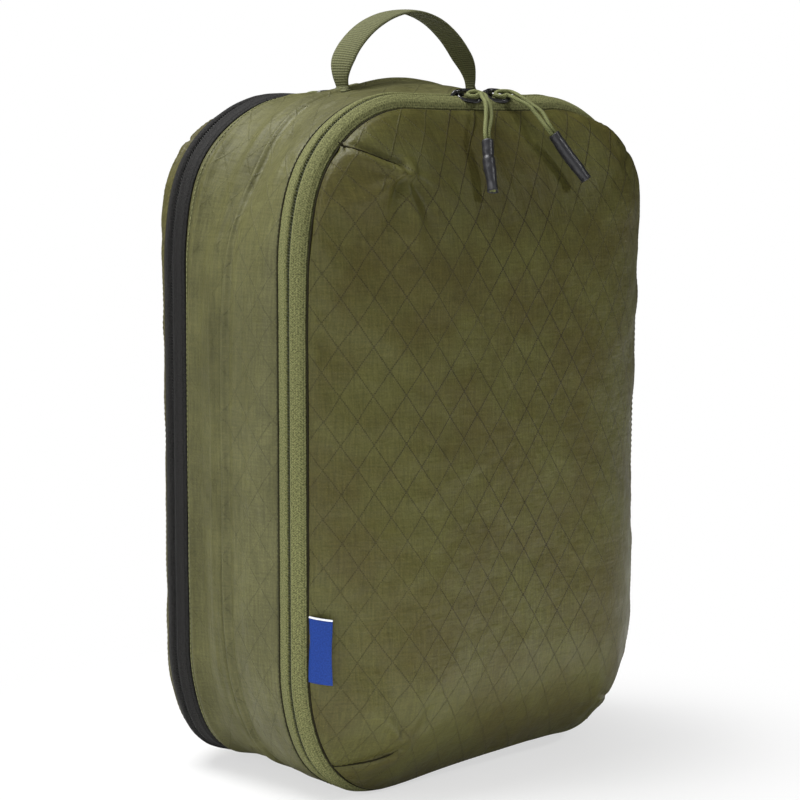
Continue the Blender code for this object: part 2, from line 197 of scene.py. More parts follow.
def grid(name, P, UV=None, cu=False, thick=0.0, flip=False, smooth=True):
    """A sheet from points P[u, v]. cu closes it along u. UV is in metres."""
    nu, nv = P.shape[:2]
    verts = P.reshape(-1, 3)
    iu = np.arange(nu if cu else nu - 1)
    a = (iu[:, None] * nv + np.arange(nv - 1)[None, :])
    b = (((iu + 1) % nu)[:, None] * nv + np.arange(nv - 1)[None, :])
    F = np.stack([a, b, b + 1, a + 1], -1).reshape(-1, 4)
    if flip:
        F = F[:, ::-1]
    me = bpy.data.meshes.new(name)
    me.from_pydata(verts.tolist(), [], F.tolist())
    if UV is not None:
        if UV.shape[0] == nu and cu:
            last = UV[-1] + (UV[-1] - UV[-2])
            UVx = np.concatenate([UV, last[None]], 0)
        else:
            UVx = UV
        nx = UVx.shape[0]
        ia = iu[:, None] * nv + np.arange(nv - 1)[None, :]
        ib = (iu + 1)[:, None] * nv + np.arange(nv - 1)[None, :]
        G = np.stack([ia, ib, ib + 1, ia + 1], -1).reshape(-1, 4)
        if flip:
            G = G[:, ::-1]
        flat = UVx.reshape(-1, 2)[G.reshape(-1)]
        layer = me.uv_layers.new(name="UVMap")
        layer.data.foreach_set("uv", flat.astype(np.float32).reshape(-1))
    obj = bpy.data.objects.new(name, me)
    SCENE.objects.link(obj)
    if smooth:
        me.shade_smooth()
    if thick:
        m = obj.modifiers.new("cloth", "SOLIDIFY")
        m.thickness = thick
        m.offset = -1.0
        m.use_rim = True
    me.validate()
    me.update()
    return obj


def outward(obj, centre, only_xz=False):
    me = obj.data
    n = len(me.polygons)
    c = np.empty(n * 3)
    v = np.empty(n * 3)
    ar = np.empty(n)
    me.polygons.foreach_get("center", c)
    me.polygons.foreach_get("normal", v)
    me.polygons.foreach_get("area", ar)
    c = c.reshape(-1, 3) - np.array(centre)
    v = v.reshape(-1, 3)
    if only_xz:
        c[:, 1] = 0
    if float(((c * v).sum(1) * ar).sum()) < 0:
        me.flip_normals()
    return obj


def tube_mesh(name, pts, rad, seg=12, cyclic=False, squash=1.0, uvs=1.0):
    """A round tube along pts; rad is a number or one per point. UV: metres along, metres round."""
    P = np.array([list(p) for p in pts], float)
    n = len(P)
    R = np.full(n, rad, float) if np.isscalar(rad) else np.array(rad, float)
    T = np.zeros_like(P)
    if cyclic:
        T = np.roll(P, -1, 0) - np.roll(P, 1, 0)
    else:
        T[1:-1] = P[2:] - P[:-2]
        T[0], T[-1] = P[1] - P[0], P[-1] - P[-2]
    T /= np.linalg.norm(T, axis=1)[:, None] + 1e-12
    ref = np.array([0, 0, 1.0]) if abs(T[0][2]) < 0.9 else np.array([0, 1.0, 0])
    A = np.zeros_like(P)
    a = np.cross(T[0], ref)
    a /= np.linalg.norm(a)
    for i in range(n):
        a = a - T[i] * a.dot(T[i])
        a /= np.linalg.norm(a) + 1e-12
        A[i] = a
    B = np.cross(T, A)
    th = np.linspace(0, 2 * PI, seg + 1)
    L = np.r_[0, np.cumsum(np.linalg.norm(np.diff(P, axis=0), axis=1))]
    ring = P[:, None, :] + R[:, None, None] * (
        A[:, None, :] * np.cos(th)[None, :, None] + squash * B[:, None, :] * np.sin(th)[None, :, None]
    )
    rings = ring[:, :-1, :]
    nu, nv = n, seg
    me = bpy.data.meshes.new(name)
    verts = rings.reshape(-1, 3).tolist()
    faces, uv = [], []
    lim = nu if cyclic else nu - 1
    for i in range(lim):
        i2 = (i + 1) % nu
        l0, l1 = L[i], (L[i] + np.linalg.norm(P[i2] - P[i]))
        for j in range(nv):
            j2 = (j + 1) % nv
            faces.append((i * nv + j, i * nv + j2, i2 * nv + j2, i2 * nv + j))
            c0, c1 = th[j] * R[i], th[j + 1] * R[i]
            uv += [(l0, c0), (l0, c1), (l1, c1), (l1, c0)]
    if not cyclic:
        faces.append(tuple(range(nv))[::-1])
        uv += [(0, 0)] * nv
        faces.append(tuple((nu - 1) * nv + j for j in range(nv)))
        uv += [(L[-1], 0)] * nv
    me.from_pydata(verts, [], faces)
    layer = me.uv_layers.new(name="UVMap")
    layer.data.foreach_set("uv", np.array(uv, np.float32).reshape(-1))
    obj = bpy.data.objects.new(name, me)
    SCENE.objects.link(obj)
    me.shade_smooth()
    me.validate()
    import bmesh
    bm = bmesh.new()
    bm.from_mesh(me)
    bmesh.ops.recalc_face_normals(bm, faces=bm.faces)
    bm.to_mesh(me)
    bm.free()
    return obj


def smooth_path(pts, n=60):
    """Catmull-Rom through the points."""
    P = np.array([list(p) for p in pts], float)
    P = np.vstack([2 * P[0] - P[1], P, 2 * P[-1] - P[-2]])
    out = []
    m = len(P) - 3
    for k in range(n + 1):
        t = k / n * m
        i = min(int(t), m - 1)
        t -= i
        p0, p1, p2, p3 = P[i:i + 4]
        out.append(0.5 * (2 * p1 + (p2 - p0) * t + (2 * p0 - 5 * p1 + 4 * p2 - p3) * t ** 2 + (3 * p1 - p0 - 3 * p2 + p3) * t ** 3))
    return np.array(out)


def join(name, objs):
    bpy.ops.object.select_all(action="DESELECT")
    for o in objs:
        o.select_set(True)
    bpy.context.view_layer.objects.active = objs[0]
    bpy.ops.object.join()
    objs[0].name = name
    objs[0].data.name = name
    return objs[0]


def stitches(name, P, N, pitch, length, radius, mat, body, sink=0.35):
    """A row of separate thread stitches along points P whose surface normals are N."""
    P, N = np.asarray(P, float), np.asarray(N, float)
    L = np.r_[0, np.cumsum(np.linalg.norm(np.diff(P, axis=0), axis=1))]
    count = int(L[-1] / pitch)
    verts, faces = [], []
    prof = [(-0.5, 0.25, -0.9), (-0.36, 0.9, -0.1), (0.0, 1.0, 0.25), (0.36, 0.9, -0.1), (0.5, 0.25, -0.9)]
    for k in range(count):
        s = (k + 0.5) * pitch
        at = lambda q: np.array([np.interp(q, L, P[:, c]) for c in range(3)])
        c, t = at(s), at(s + length / 2) - at(s - length / 2)
        if np.linalg.norm(t) < 1e-9:
            continue
        t /= np.linalg.norm(t)
        n = np.array([np.interp(s, L, N[:, c2]) for c2 in range(3)])
        n -= t * n.dot(t)
        n /= np.linalg.norm(n)
        b = np.cross(t, n)
        base = len(verts)
        for f, r, h in prof:
            for q in range(6):
                a = 2 * PI * q / 6
                verts.append((c + t * f * length + (b * math.cos(a) + n * math.sin(a)) * radius * r + n * radius * (h + sink)).tolist())
        for i in range(4):
            for q in range(6):
                faces.append((base + i * 6 + q, base + i * 6 + (q + 1) % 6, base + (i + 1) * 6 + (q + 1) % 6, base + (i + 1) * 6 + q))
        faces.append(tuple(base + q for q in range(6))[::-1])
        faces.append(tuple(base + 24 + q for q in range(6)))
    me = bpy.data.meshes.new(name)
    me.from_pydata(verts, [], faces)
    me.shade_smooth()
    import bmesh
    bm = bmesh.new()
    bm.from_mesh(me)
    bmesh.ops.recalc_face_normals(bm, faces=bm.faces)
    bm.to_mesh(me)
    bm.free()
    obj = bpy.data.objects.new(name, me)
    SCENE.objects.link(obj)
    return finish_piece(obj, mat, body)


# ---------------------------------------------------------------- materials
class Nodes:
    def __init__(self, name):
        self.mat = bpy.data.materials.new(name)
        self.mat.use_nodes = True
        self.t = self.mat.node_tree
        self.b = self.t.nodes["Principled BSDF"]

    def put(self, sock, v):
        if hasattr(v, "is_output") or isinstance(v, bpy.types.NodeSocket):
            self.t.links.new(v, sock)
        else:
            sock.default_value = v

    def m(self, op, a, b=None, c=None, clamp=False):
        n = self.t.nodes.new("ShaderNodeMath")
        n.operation = op
        n.use_clamp = clamp
        for s, v in zip(n.inputs, (a, b, c)):
            if v is not None:
                self.put(s, v)
        return n.outputs[0]

    def uv(self):
        n = self.t.nodes.new("ShaderNodeUVMap")
        n.uv_map = "UVMap"
        sp = self.t.nodes.new("ShaderNodeSeparateXYZ")
        self.t.links.new(n.outputs[0], sp.inputs[0])
        return sp.outputs[0], sp.outputs[1]

    def xyz(self):
        n = self.t.nodes.new("ShaderNodeTexCoord")
        sp = self.t.nodes.new("ShaderNodeSeparateXYZ")
        self.t.links.new(n.outputs["Object"], sp.inputs[0])
        return sp.outputs[0], sp.outputs[1], sp.outputs[2]

    def vec(self, x, y, z=0.0):
        n = self.t.nodes.new("ShaderNodeCombineXYZ")
        for s, v in zip(n.inputs, (x, y, z)):
            self.put(s, v)
        return n.outputs[0]

    def noise(self, vec, scale=1.0, detail=3.0, rough=0.5):
        n = self.t.nodes.new("ShaderNodeTexNoise")
        self.t.links.new(vec, n.inputs["Vector"])
        n.inputs["Scale"].default_value = scale
        n.inputs["Detail"].default_value = detail
        n.inputs["Roughness"].default_value = rough
        return n.outputs["Fac"]

    def ramp(self, v, a, b, lo=0.0, hi=1.0, smooth=True):
        n = self.t.nodes.new("ShaderNodeMapRange")
        n.interpolation_type = "SMOOTHSTEP" if smooth else "LINEAR"
        n.clamp = True
        self.put(n.inputs["Value"], v)
        n.inputs["From Min"].default_value, n.inputs["From Max"].default_value = a, b
        n.inputs["To Min"].default_value, n.inputs["To Max"].default_value = lo, hi
        return n.outputs[0]

    def mix(self, f, a, b):
        n = self.t.nodes.new("ShaderNodeMix")
        n.data_type = "RGBA"
        self.put(n.inputs["Factor"], f)
        for s, v in ((n.inputs[6], a), (n.inputs[7], b)):
            self.put(s, v if not isinstance(v, tuple) else (*v, 1.0))
        return n.outputs[2]

    def scale_rgb(self, col, f):
        """col times the number f, as a colour."""
        n = self.t.nodes.new("ShaderNodeVectorMath")
        n.operation = "SCALE"
        self.put(n.inputs[0], col)
        self.put(n.inputs["Scale"], f)
        return n.outputs[0]

    def bump(self, height, distance, strength=1.0, normal=None):
        n = self.t.nodes.new("ShaderNodeBump")
        n.inputs["Distance"].default_value = distance
        n.inputs["Strength"].default_value = strength
        self.t.links.new(height, n.inputs["Height"])
        if normal is not None:
            self.t.links.new(normal, n.inputs["Normal"])
        return n.outputs[0]

    def out(self, color=None, rough=None, normal=None, **sockets):
        names = {"spec": "Specular IOR Level", "sheen": "Sheen Weight", "sheen_r": "Sheen Roughness", "metal": "Metallic", "coat": "Coat Weight", "coat_r": "Coat Roughness", "sheen_t": "Sheen Tint"}
        if color is not None:
            self.put(self.b.inputs["Base Color"], color if not isinstance(color, tuple) else (*color, 1.0))
        if rough is not None:
            self.put(self.b.inputs["Roughness"], rough)
        if normal is not None:
            self.t.links.new(normal, self.b.inputs["Normal"])
        for k, v in sockets.items():
            self.b.inputs[names[k]].default_value = v
        return self.mat


def ripstop(name, col_a, col_b, line, strength, crinkle=1.0, rough=0.47):
    """Thin coated nylon: fine threads, a diamond grid of darker dotted yarns and small crinkles."""
    g = Nodes(name)
    u, v = g.uv()
    fu, fv = g.m("DIVIDE", u, 0.0174), g.m("DIVIDE", v, 0.0246)
    a, b = g.m("ADD", fu, fv), g.m("SUBTRACT", fu, fv)

    def near(q, other):
        d = g.m("SUBTRACT", 0.5, g.m("ABSOLUTE", g.m("SUBTRACT", g.m("FRACT", q), 0.5)))
        ln = g.ramp(d, 0.011, 0.034, 1.0, 0.0)
        dot = g.ramp(g.m("ABSOLUTE", g.m("SUBTRACT", g.m("FRACT", g.m("MULTIPLY", other, 13.0)), 0.5)), 0.19, 0.35, 1.0, 0.26)
        return g.m("MULTIPLY", ln, dot)

    lines = g.m("MAXIMUM", near(a, b), near(b, a))
    flat = g.vec(u, v, 0.0)
    patch = g.m("MULTIPLY", g.ramp(g.noise(flat, 13.0, 2.0), 0.33, 0.57, 0.40, 1.0), g.m("MULTIPLY", g.ramp(u, -0.120, -0.030, 0.48, 1.0, False), g.ramp(v, 0.030, 0.120, 0.48, 1.0, False)))
    lines_on = g.m("MULTIPLY", g.m("MULTIPLY", lines, patch), strength)
    tone = g.ramp(g.noise(flat, 17.0, 4.0, 0.62), 0.36, 0.64)
    base = g.mix(tone, col_a, col_b)
    # threads, uneven along their length
    warp = g.noise(g.vec(g.m("MULTIPLY", u, 860.0), g.m("MULTIPLY", v, 75.0)), 1.0, 2.0)
    weft = g.noise(g.vec(g.m("MULTIPLY", u, 85.0), g.m("MULTIPLY", v, 860.0), 7.0), 1.0, 2.0)
    thread = g.m("ADD", g.m("MULTIPLY", warp, 0.60), g.m("MULTIPLY", weft, 0.40))
    grain = g.ramp(g.noise(flat, 1000.0, 1.0), 0.32, 0.68, 0.90, 1.10, False)
    shade = g.m("MULTIPLY", g.ramp(thread, 0.34, 0.66, 0.80, 1.20, False), grain)
    base = g.scale_rgb(base, shade)
    # the odd pale fleck, scattered at random
    cross = g.m("MULTIPLY", near(a, b), near(b, a))
    fleck = g.m("MULTIPLY", g.m("GREATER_THAN", g.noise(flat, 900.0, 1.0), 0.70), 0.35)
    base = g.mix(fleck, base, (col_b[0] * 1.7, col_b[1] * 1.7, col_b[2] * 1.6))
    base = g.mix(lines_on, base, line)
    crk = g.noise(flat, 105.0, 4.0, 0.6)
    crk2 = g.noise(g.vec(g.m("MULTIPLY", u, 24.0), g.m("MULTIPLY", v, 46.0), 3.0), 1.0, 3.0, 0.5)
    h = g.m("ADD", g.m("MULTIPLY", crk, 0.9), g.m("MULTIPLY", crk2, 2.0))
    n1 = g.bump(h, 0.0013 * crinkle, 0.62)
    n2 = g.bump(g.m("ADD", g.m("MULTIPLY", thread, 0.8), g.m("MULTIPLY", lines, 0.6)), 0.00034, 0.9, n1)
    r = g.ramp(g.noise(flat, 60.0, 2.0), 0.3, 0.7, rough - 0.05, rough + 0.07, False)
    return g.out(base, r, n2, spec=0.20)


def tape(name, col_a, col_b, pitch=0.00125, depth=0.00016, rough=0.8):
    """Woven zip tape: a small herringbone with pale specks on its ridges."""
    g = Nodes(name)
    u, v = g.uv()
    k = 2 * PI / pitch
    zig = g.m("ABSOLUTE", g.m("SUBTRACT", g.m("FRACT", g.m("DIVIDE", v, 0.0042)), 0.5))
    d1 = g.m("SINE", g.m("MULTIPLY", g.m("ADD", u, g.m("MULTIPLY", zig, 0.0042)), k))
    d2 = g.m("SINE", g.m("MULTIPLY", v, k * 1.15))
    w = g.m("MULTIPLY", g.m("ADD", g.m("MULTIPLY", d1, 0.65), g.m("MULTIPLY", d2, 0.35)), 0.5)
    w = g.m("ADD", w, 0.5)
    nz = g.ramp(g.noise(g.vec(g.m("MULTIPLY", u, 1150.0), g.m("MULTIPLY", v, 1150.0)), 1.0, 1.0), 0.34, 0.66, 0.0, 1.0, False)
    f = g.m("ADD", g.m("MULTIPLY", w, 0.42), g.m("MULTIPLY", nz, 0.58), clamp=True)
    col = g.mix(f, col_a, col_b)
    n = g.bump(f, depth, 0.9)
    return g.out(col, rough, n, spec=0.2)


def webbing(name, col_a, col_b):
    g = Nodes(name)
    u, v = g.uv()
    rib = g.m("ADD", g.m("MULTIPLY", g.m("SINE", g.m("MULTIPLY", u, 2 * PI / 0.00135)), 0.5), 0.5)
    col_n = g.m("ADD", g.m("MULTIPLY", g.m("SINE", g.m("MULTIPLY", v, 2 * PI / 0.0016)), 0.5), 0.5)
    nz = g.noise(g.vec(g.m("MULTIPLY", u, 700.0), g.m("MULTIPLY", v, 900.0)), 1.0, 2.0)
    f = g.m("ADD", g.m("ADD", g.m("MULTIPLY", rib, 0.45), g.m("MULTIPLY", col_n, 0.18)), g.m("MULTIPLY", nz, 0.40), clamp=True)
    col = g.mix(f, col_a, col_b)
    n = g.bump(g.m("ADD", rib, g.m("MULTIPLY", nz, 0.6)), 0.00030, 0.9)
    return g.out(col, 0.82, n, spec=0.3, sheen=0.05, sheen_r=0.5)


def braid(name, col_a, col_b, pitch=0.0013):
    g = Nodes(name)
    u, v = g.uv()
    k = 2 * PI / pitch
    p = g.m("SINE", g.m("MULTIPLY", g.m("ADD", u, v), k))
    q = g.m("SINE", g.m("MULTIPLY", g.m("SUBTRACT", u, v), k))
    f = g.m("ADD", g.m("MULTIPLY", g.m("MAXIMUM", p, q), 0.5), 0.5)
    f = g.m("ADD", g.m("MULTIPLY", f, 0.7), g.m("MULTIPLY", g.noise(g.vec(u, v), 900.0, 2.0), 0.3), clamp=True)
    col = g.mix(f, col_a, col_b)
    return g.out(col, 0.75, g.bump(f, 0.00025, 0.9), spec=0.35, sheen=0.04, sheen_r=0.5)


def plain(name, col, rough, metal=0.0, spec=0.5, scale=600.0, amount=0.12, depth=0.00008, coat=0.0):
    g = Nodes(name)
    x, y, z = g.xyz()
    v = g.vec(x, y, z)
    n = g.noise(v, scale, 3.0)
    c = g.mix(n, tuple(c * (1 - amount) for c in col), tuple(min(1, c * (1 + amount)) for c in col))
    r = g.ramp(g.noise(v, scale * 0.35, 2.0), 0.3, 0.7, rough * 0.85, min(1, rough * 1.15), False)
    return g.out(c, r, g.bump(n, depth, 0.5), spec=spec, metal=metal, coat=coat)


OL_A, OL_B = (0.059, 0.0515, 0.0120), (0.073, 0.071, 0.0185)
M_FRONT = ripstop("front_ripstop", OL_A, OL_B, (0.018, 0.012, 0.005), 1.0)
M_GUSSET = ripstop("gusset_ripstop", (0.082, 0.080, 0.031), (0.104, 0.102, 0.041), (0.045, 0.043, 0.020), 0.45, 1.1)
M_PLAIN = ripstop("plain_nylon", (0.068, 0.066, 0.0235), (0.094, 0.092, 0.034), (0.08, 0.08, 0.03), 0.0, 1.0, 0.58)
M_BACK = ripstop("back_ripstop", (0.062, 0.055, 0.018), (0.080, 0.074, 0.025), (0.036, 0.030, 0.014), 0.6)
M_TAPE = tape("green_zip_tape", (0.042, 0.045, 0.013), (0.215, 0.220, 0.090))
M_TAPE_K = tape("black_zip_tape", (0.0015, 0.0015, 0.0014), (0.0265, 0.0255, 0.0245), depth=0.00022)
M_BIND = tape("seam_binding", (0.075, 0.085, 0.034), (0.150, 0.165, 0.070), 0.0015)
M_WEB = webbing("olive_webbing", (0.038, 0.040, 0.014), (0.150, 0.155, 0.064))
M_CORD = braid("pull_cord", (0.040, 0.046, 0.013), (0.185, 0.200, 0.068))
M_METAL = plain("black_enamel", (0.004, 0.004, 0.004), 0.28, 0.0, 0.5, 900.0, 0.2, 0.00003, coat=0.25)
M_SLEEVE = plain("shrunk_sleeve", (0.017, 0.017, 0.020), 0.40, 0.0, 0.45, 1100.0, 0.15, 0.00006)
M_COIL = plain("coil_nylon", (0.012, 0.012, 0.011), 0.45, 0.0, 0.5, 1500.0, 0.2, 0.00004)
M_COIL_G = plain("coil_olive", (0.060, 0.066, 0.026), 0.5, 0.0, 0.4, 1500.0, 0.2, 0.00004)
# near-black matte tubes in this material are painted shade: the shadowed gaps along the tape seams and the creases of
# the darts
M_SHADE_LINE = plain("seam_and_crease_painted_shade", (0.016, 0.014, 0.007), 0.9, 0.0, 0.1, 2000.0, 0.2, 0.00004)
M_THREAD = plain("olive_thread", (0.230, 0.240, 0.110), 0.75, 0.0, 0.3, 3000.0, 0.25, 0.00006)
M_THREAD_D = plain("dark_thread", (0.060, 0.062, 0.026), 0.75, 0.0, 0.3, 3000.0, 0.25, 0.00006)
M_THREAD_K = plain("black_thread", (0.012, 0.012, 0.012), 0.7, 0.0, 0.3, 3000.0, 0.25, 0.00006)
M_BLUE = tape("blue_label", (0.0035, 0.024, 0.155), (0.008, 0.044, 0.255), 0.0007, 0.00006, 0.6)
M_WHITE = plain("label_edge", (0.72, 0.74, 0.78), 0.7, 0.0, 0.3, 2500.0, 0.1, 0.00005)
M_LINING = ripstop("divider_nylon", (0.070, 0.072, 0.036), (0.090, 0.094, 0.046), (0.06, 0.06, 0.03), 0.0, 1.2, 0.6)


# ---------------------------------------------------------------- gusset strips
def arc_wrinkle(s, y, seed, a_long=0.0028, a_fine=0.0008):
    """Soft folds that run along the strip, and small puckers across it."""
    w = a_long * fbm(s * 7.0, y * 95.0, 0.3, seed, 2)
    return w + a_fine * fbm(s * 55.0, y * 40.0, 1.7, seed + 5, 3)


def gusset(name, sgn, mat, node):
    nv = 44
    t = np.linspace(0, 1, nv)                             # 0 at the zipper band, 1 at the middle seam
    y = sgn * (EDGE - 0.0002 - t * (EDGE - 0.0002 + (0.0004 if sgn < 0 else 0.0)))
    f = np.sin(t * PI / 2) ** (0.95 if sgn < 0 else 0.8)
    edge = EDGE_F if sgn < 0 else EDGE_R
    off = (CROWN + (CROWN_R if sgn > 0 else 0.6 * CROWN_R))[:, None] * f[None, :] + edge[:, None] * (1 - sstep(0, 1, t))[None, :]
    base_hold = sstep(0.000, 0.012, OZ)[:, None]
    off = off + base_hold * arc_wrinkle(OS[:, None], y[None, :], 3 if sgn < 0 else 9) * (np.sin(PI * t) ** 0.6)[None, :]
    # slack folds where the strip turns the upper corner
    turn = np.exp(-((OZ - 0.318) / 0.034) ** 2) * (np.abs(OX) > 0.06)
    off = off + (turn[:, None] * (0.0032 * fbm(OS[:, None] * 24 + y[None, :] * 42, y[None, :] * 28, 0.7, 15, 2))) * (np.sin(PI * t) ** 0.5)[None, :]
    if sgn < 0:
        off = off + base_hold * (0.0014 * np.exp(-((y + 0.0009) / 0.0012) ** 2) - 0.0009 * np.exp(-((y + 0.0042) / 0.0022) ** 2))[None, :]
    else:
        off = off - 0.0006 * base_hold * np.exp(-((y - 0.0010) / 0.0014) ** 2)[None, :]
        off = off + base_hold * (0.0011 * np.exp(-((y - 0.0300) / 0.0022) ** 2) - 0.0010 * np.exp(-((y - 0.0345) / 0.0013) ** 2))[None, :]
        slack = (sstep(0.02, 0.12, OZ) * (1 - 0.5 * sstep(0.27, 0.33, OZ)) * (np.abs(OX) > 0.03))[:, None]
        sway = 0.0022 * fbm(OS * 9.0, OS * 0.0, 0.4, 61, 2)[:, None]
        off = off - slack * 0.0024 * np.exp(-((y[None, :] - 0.0215 - sway) / 0.0062) ** 2) + slack * 0.0011 * np.exp(-((y[None, :] - 0.0088 - sway) / 0.0019) ** 2)
    # the strip tucks in where it is sewn to the tape
    off = off - base_hold * (0.0008 * np.exp(-((np.abs(y) - EDGE) / 0.0010) ** 2))[None, :]
    off = np.where(off < 0, off, off)
    P = np.empty((NS, nv, 3))
    P[..., 0] = OX[:, None] + ON[:, 0][:, None] * off
    P[..., 2] = np.maximum(OZ[:, None] + ON[:, 1][:, None] * off, 0.0)
    P[..., 1] = y[None, :]
    if sgn > 0:
        tuck = 0.0011 * np.exp(-(y / 0.0008) ** 2)[None, :]
        P[..., 0] -= ON[:, 0][:, None] * tuck
        P[..., 2] -= ON[:, 1][:, None] * tuck * base_hold
    P[..., 2] += lift(P[..., 0], P[..., 1], P[..., 2])
    UV = np.stack([np.broadcast_to(y[None, :], P.shape[:2]), np.broadcast_to(OS[:, None], P.shape[:2])], -1)
    o = grid(name, P, UV, cu=True, thick=0.0008)
    outward(o, (0, 0, H / 2), True)
    finish_piece(o, mat, "bag_body", [node])
    return P


PF = gusset("gusset_front_cloth", -1, M_GUSSET, "front_gusset")
PR = gusset("gusset_rear_cloth", 1, M_PLAIN, "rear_gusset")


# ---------------------------------------------------------------- zipper bands
def band_points(sgn, seam, ts, sink=0.0, idx=None):
    ts = np.asarray(ts, float)
    off = band_off(ts, seam) - sink
    y = sgn * (EDGE + BAND * ts)
    P = np.empty((NS, len(ts), 3))
    P[..., 0] = OX[:, None] + ON[:, 0][:, None] * off
    P[..., 2] = OZ[:, None] + ON[:, 1][:, None] * off
    P[..., 1] = y[None, :]
    P[..., 2] = np.maximum(P[..., 2], 0.0002)
    P[..., 2] += lift(P[..., 0], P[..., 1], P[..., 2])
    return P if idx is None else P[idx]


def band_normals(P):
    du = np.gradient(P, axis=0)
    dv = np.gradient(P, axis=1)
    n = np.cross(du, dv)
    n /= np.linalg.norm(n, axis=2)[..., None] + 1e-12
    c = P - np.array([0, 0, H / 2])
    c[..., 1] = 0
    s = np.sign((n * c).sum(-1))
    return n * s[..., None]


def zip_side(w, sgn, seam, mt, thread, body_thread):
    lid = f"{w}_lid"
    gap = 0.00052 / BAND
    for half, t0, t1, body in (("body", -0.004, 0.5 - gap, "bag_body"), ("lid", 0.5 + gap, 1.0, lid)):
        ts = np.linspace(t0, t1, 15)
        P = band_points(sgn, seam, ts, idx=ZIP)
        N = band_normals(P)
        q = (ts - t0) / (t1 - t0)
        edge_in = q if half == "body" else 1 - q           # 1 at the track
        # tape swells over the coil, then turns down into the track; its outer edge is sewn down
        lift = 0.0007 * np.exp(-((edge_in - 0.80) / 0.16) ** 2) - 0.0009 * np.exp(-((edge_in - 1.0) / 0.045) ** 2)
        sewn = -0.0007 * np.exp(-((edge_in - 0.14) / 0.05) ** 2) - 0.0010 * np.exp(-(edge_in / 0.05) ** 2)
        ends = sstep(0.0, 0.035, np.minimum(OS[ZIP] - OS[ZIP[0]], OS[ZIP[-1]] - OS[ZIP]))[:, None]
        if half == "lid":
            lift = lift + 0.0013 * np.sin(PI * np.clip((edge_in - 0.10) / 0.85, 0, 1)) ** 0.8
        rip = 0.00010 * vnoise(OS[ZIP][:, None] * 260, ts[None, :] * 3, 0.5, 21)
        P = P + N * ((lift + sewn) * ends + rip)[..., None]
        s = np.broadcast_to(OS[ZIP][:, None], P.shape[:2])
        UV = np.stack([s, np.broadcast_to((ts * BAND)[None, :], P.shape[:2])], -1)
        o = grid(f"{w}_zip_tape_{half}", P, UV, thick=0.0007)
        outward(o, (0, 0, H / 2), True)
        finish_piece(o, mt, body, [f"{w}_tape_{half}"])
        j = int(np.argmin(np.abs(edge_in - 0.14)))
        stitches(f"{w}_tape_stitch_{half}", P[:, j], N[:, j], 0.0026, 0.0018, 0.00016, thread, body, sink=-0.25)
    # coil turns seen in the track: one small hook per turn, on alternate sides
    for half, t in (("body", 0.5 - 0.00060 / BAND), ("lid", 0.5 + 0.00060 / BAND)):
        ts = np.array([t - 0.03, t, t + 0.03])
        P = band_points(sgn, seam, ts, sink=0.0006, idx=ZIP)
        N = band_normals(P)
        line, nrm = P[:, 1], N[:, 1]
        stitches_line = line if half == "body" else line + 0
        o = coil(f"{w}_zip_coil_{half}", stitches_line, nrm, 0.0016, 0.5 if half == "lid" else 0.0, "bag_body" if half == "body" else lid, M_COIL_G if w == "front" else M_COIL)
        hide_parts(f"{w}_coil_{half}")


def coil(name, P, N, pitch, phase, body, mat):
    L = np.r_[0, np.cumsum(np.linalg.norm(np.diff(P, axis=0), axis=1))]
    n = int(L[-1] / pitch * 10)
    s = np.linspace(0, L[-1], n)
    c = np.stack([np.interp(s, L, P[:, k]) for k in range(3)], 1)
    nn = np.stack([np.interp(s, L, N[:, k]) for k in range(3)], 1)
    t = np.gradient(c, axis=0)
    t /= np.linalg.norm(t, axis=1)[:, None]
    b = np.cross(t, nn)
    ph = (s / pitch + phase) * 2 * PI
    path = c + b * (0.00072 * np.cos(ph))[:, None] + nn * (0.00042 * np.sin(ph))[:, None]
    o = tube_mesh(name, path, 0.00024, seg=5)
    return finish_piece(o, mat, body)


zip_side("front", -1, SEAM_F, M_TAPE, M_THREAD_D, M_THREAD_D)
zip_side("rear", 1, SEAM_R, M_TAPE_K, M_THREAD_K, M_THREAD_K)

# a thin dark tube sunk into a seam: painted shade of the gap where cloth meets tape, not a thread
def seam_gap_shade(name, sgn, seam, t, sink, rad, body, mat):
    P = band_points(sgn, seam, [t - 0.02, t, t + 0.02], sink=sink, idx=ZIP)[:, 1]
    o = tube_mesh(name, P, rad, 6)
    return finish_piece(o, mat, body)


# painted shade lines in the seam gaps beside the front and rear lid tapes and the front body tape
seam_gap_shade("front_lid_gap_shade", -1, SEAM_F, 1.020, 0.00075, 0.00062, "front_lid", M_SHADE_LINE)
seam_gap_shade("front_body_gap_shade", -1, SEAM_F, -0.012, 0.00035, 0.00046, "bag_body", M_SHADE_LINE)
seam_gap_shade("rear_lid_gap_shade", 1, SEAM_R, 1.020, 0.00075, 0.00050, "rear_lid", M_SHADE_LINE)


# topstitch on the gusset strips beside the tapes
def gusset_stitch(name, P, j, mat):
    N = band_normals(P)
    stitches(name, np.vstack([P[ZIP, j]]), N[ZIP, j], 0.0027, 0.0019, 0.00022, mat, "bag_body")


gusset_stitch("gusset_rear_topstitch", PR, 2, M_THREAD)
gusset_stitch("gusset_front_topstitch", PF, 1, M_THREAD_D)


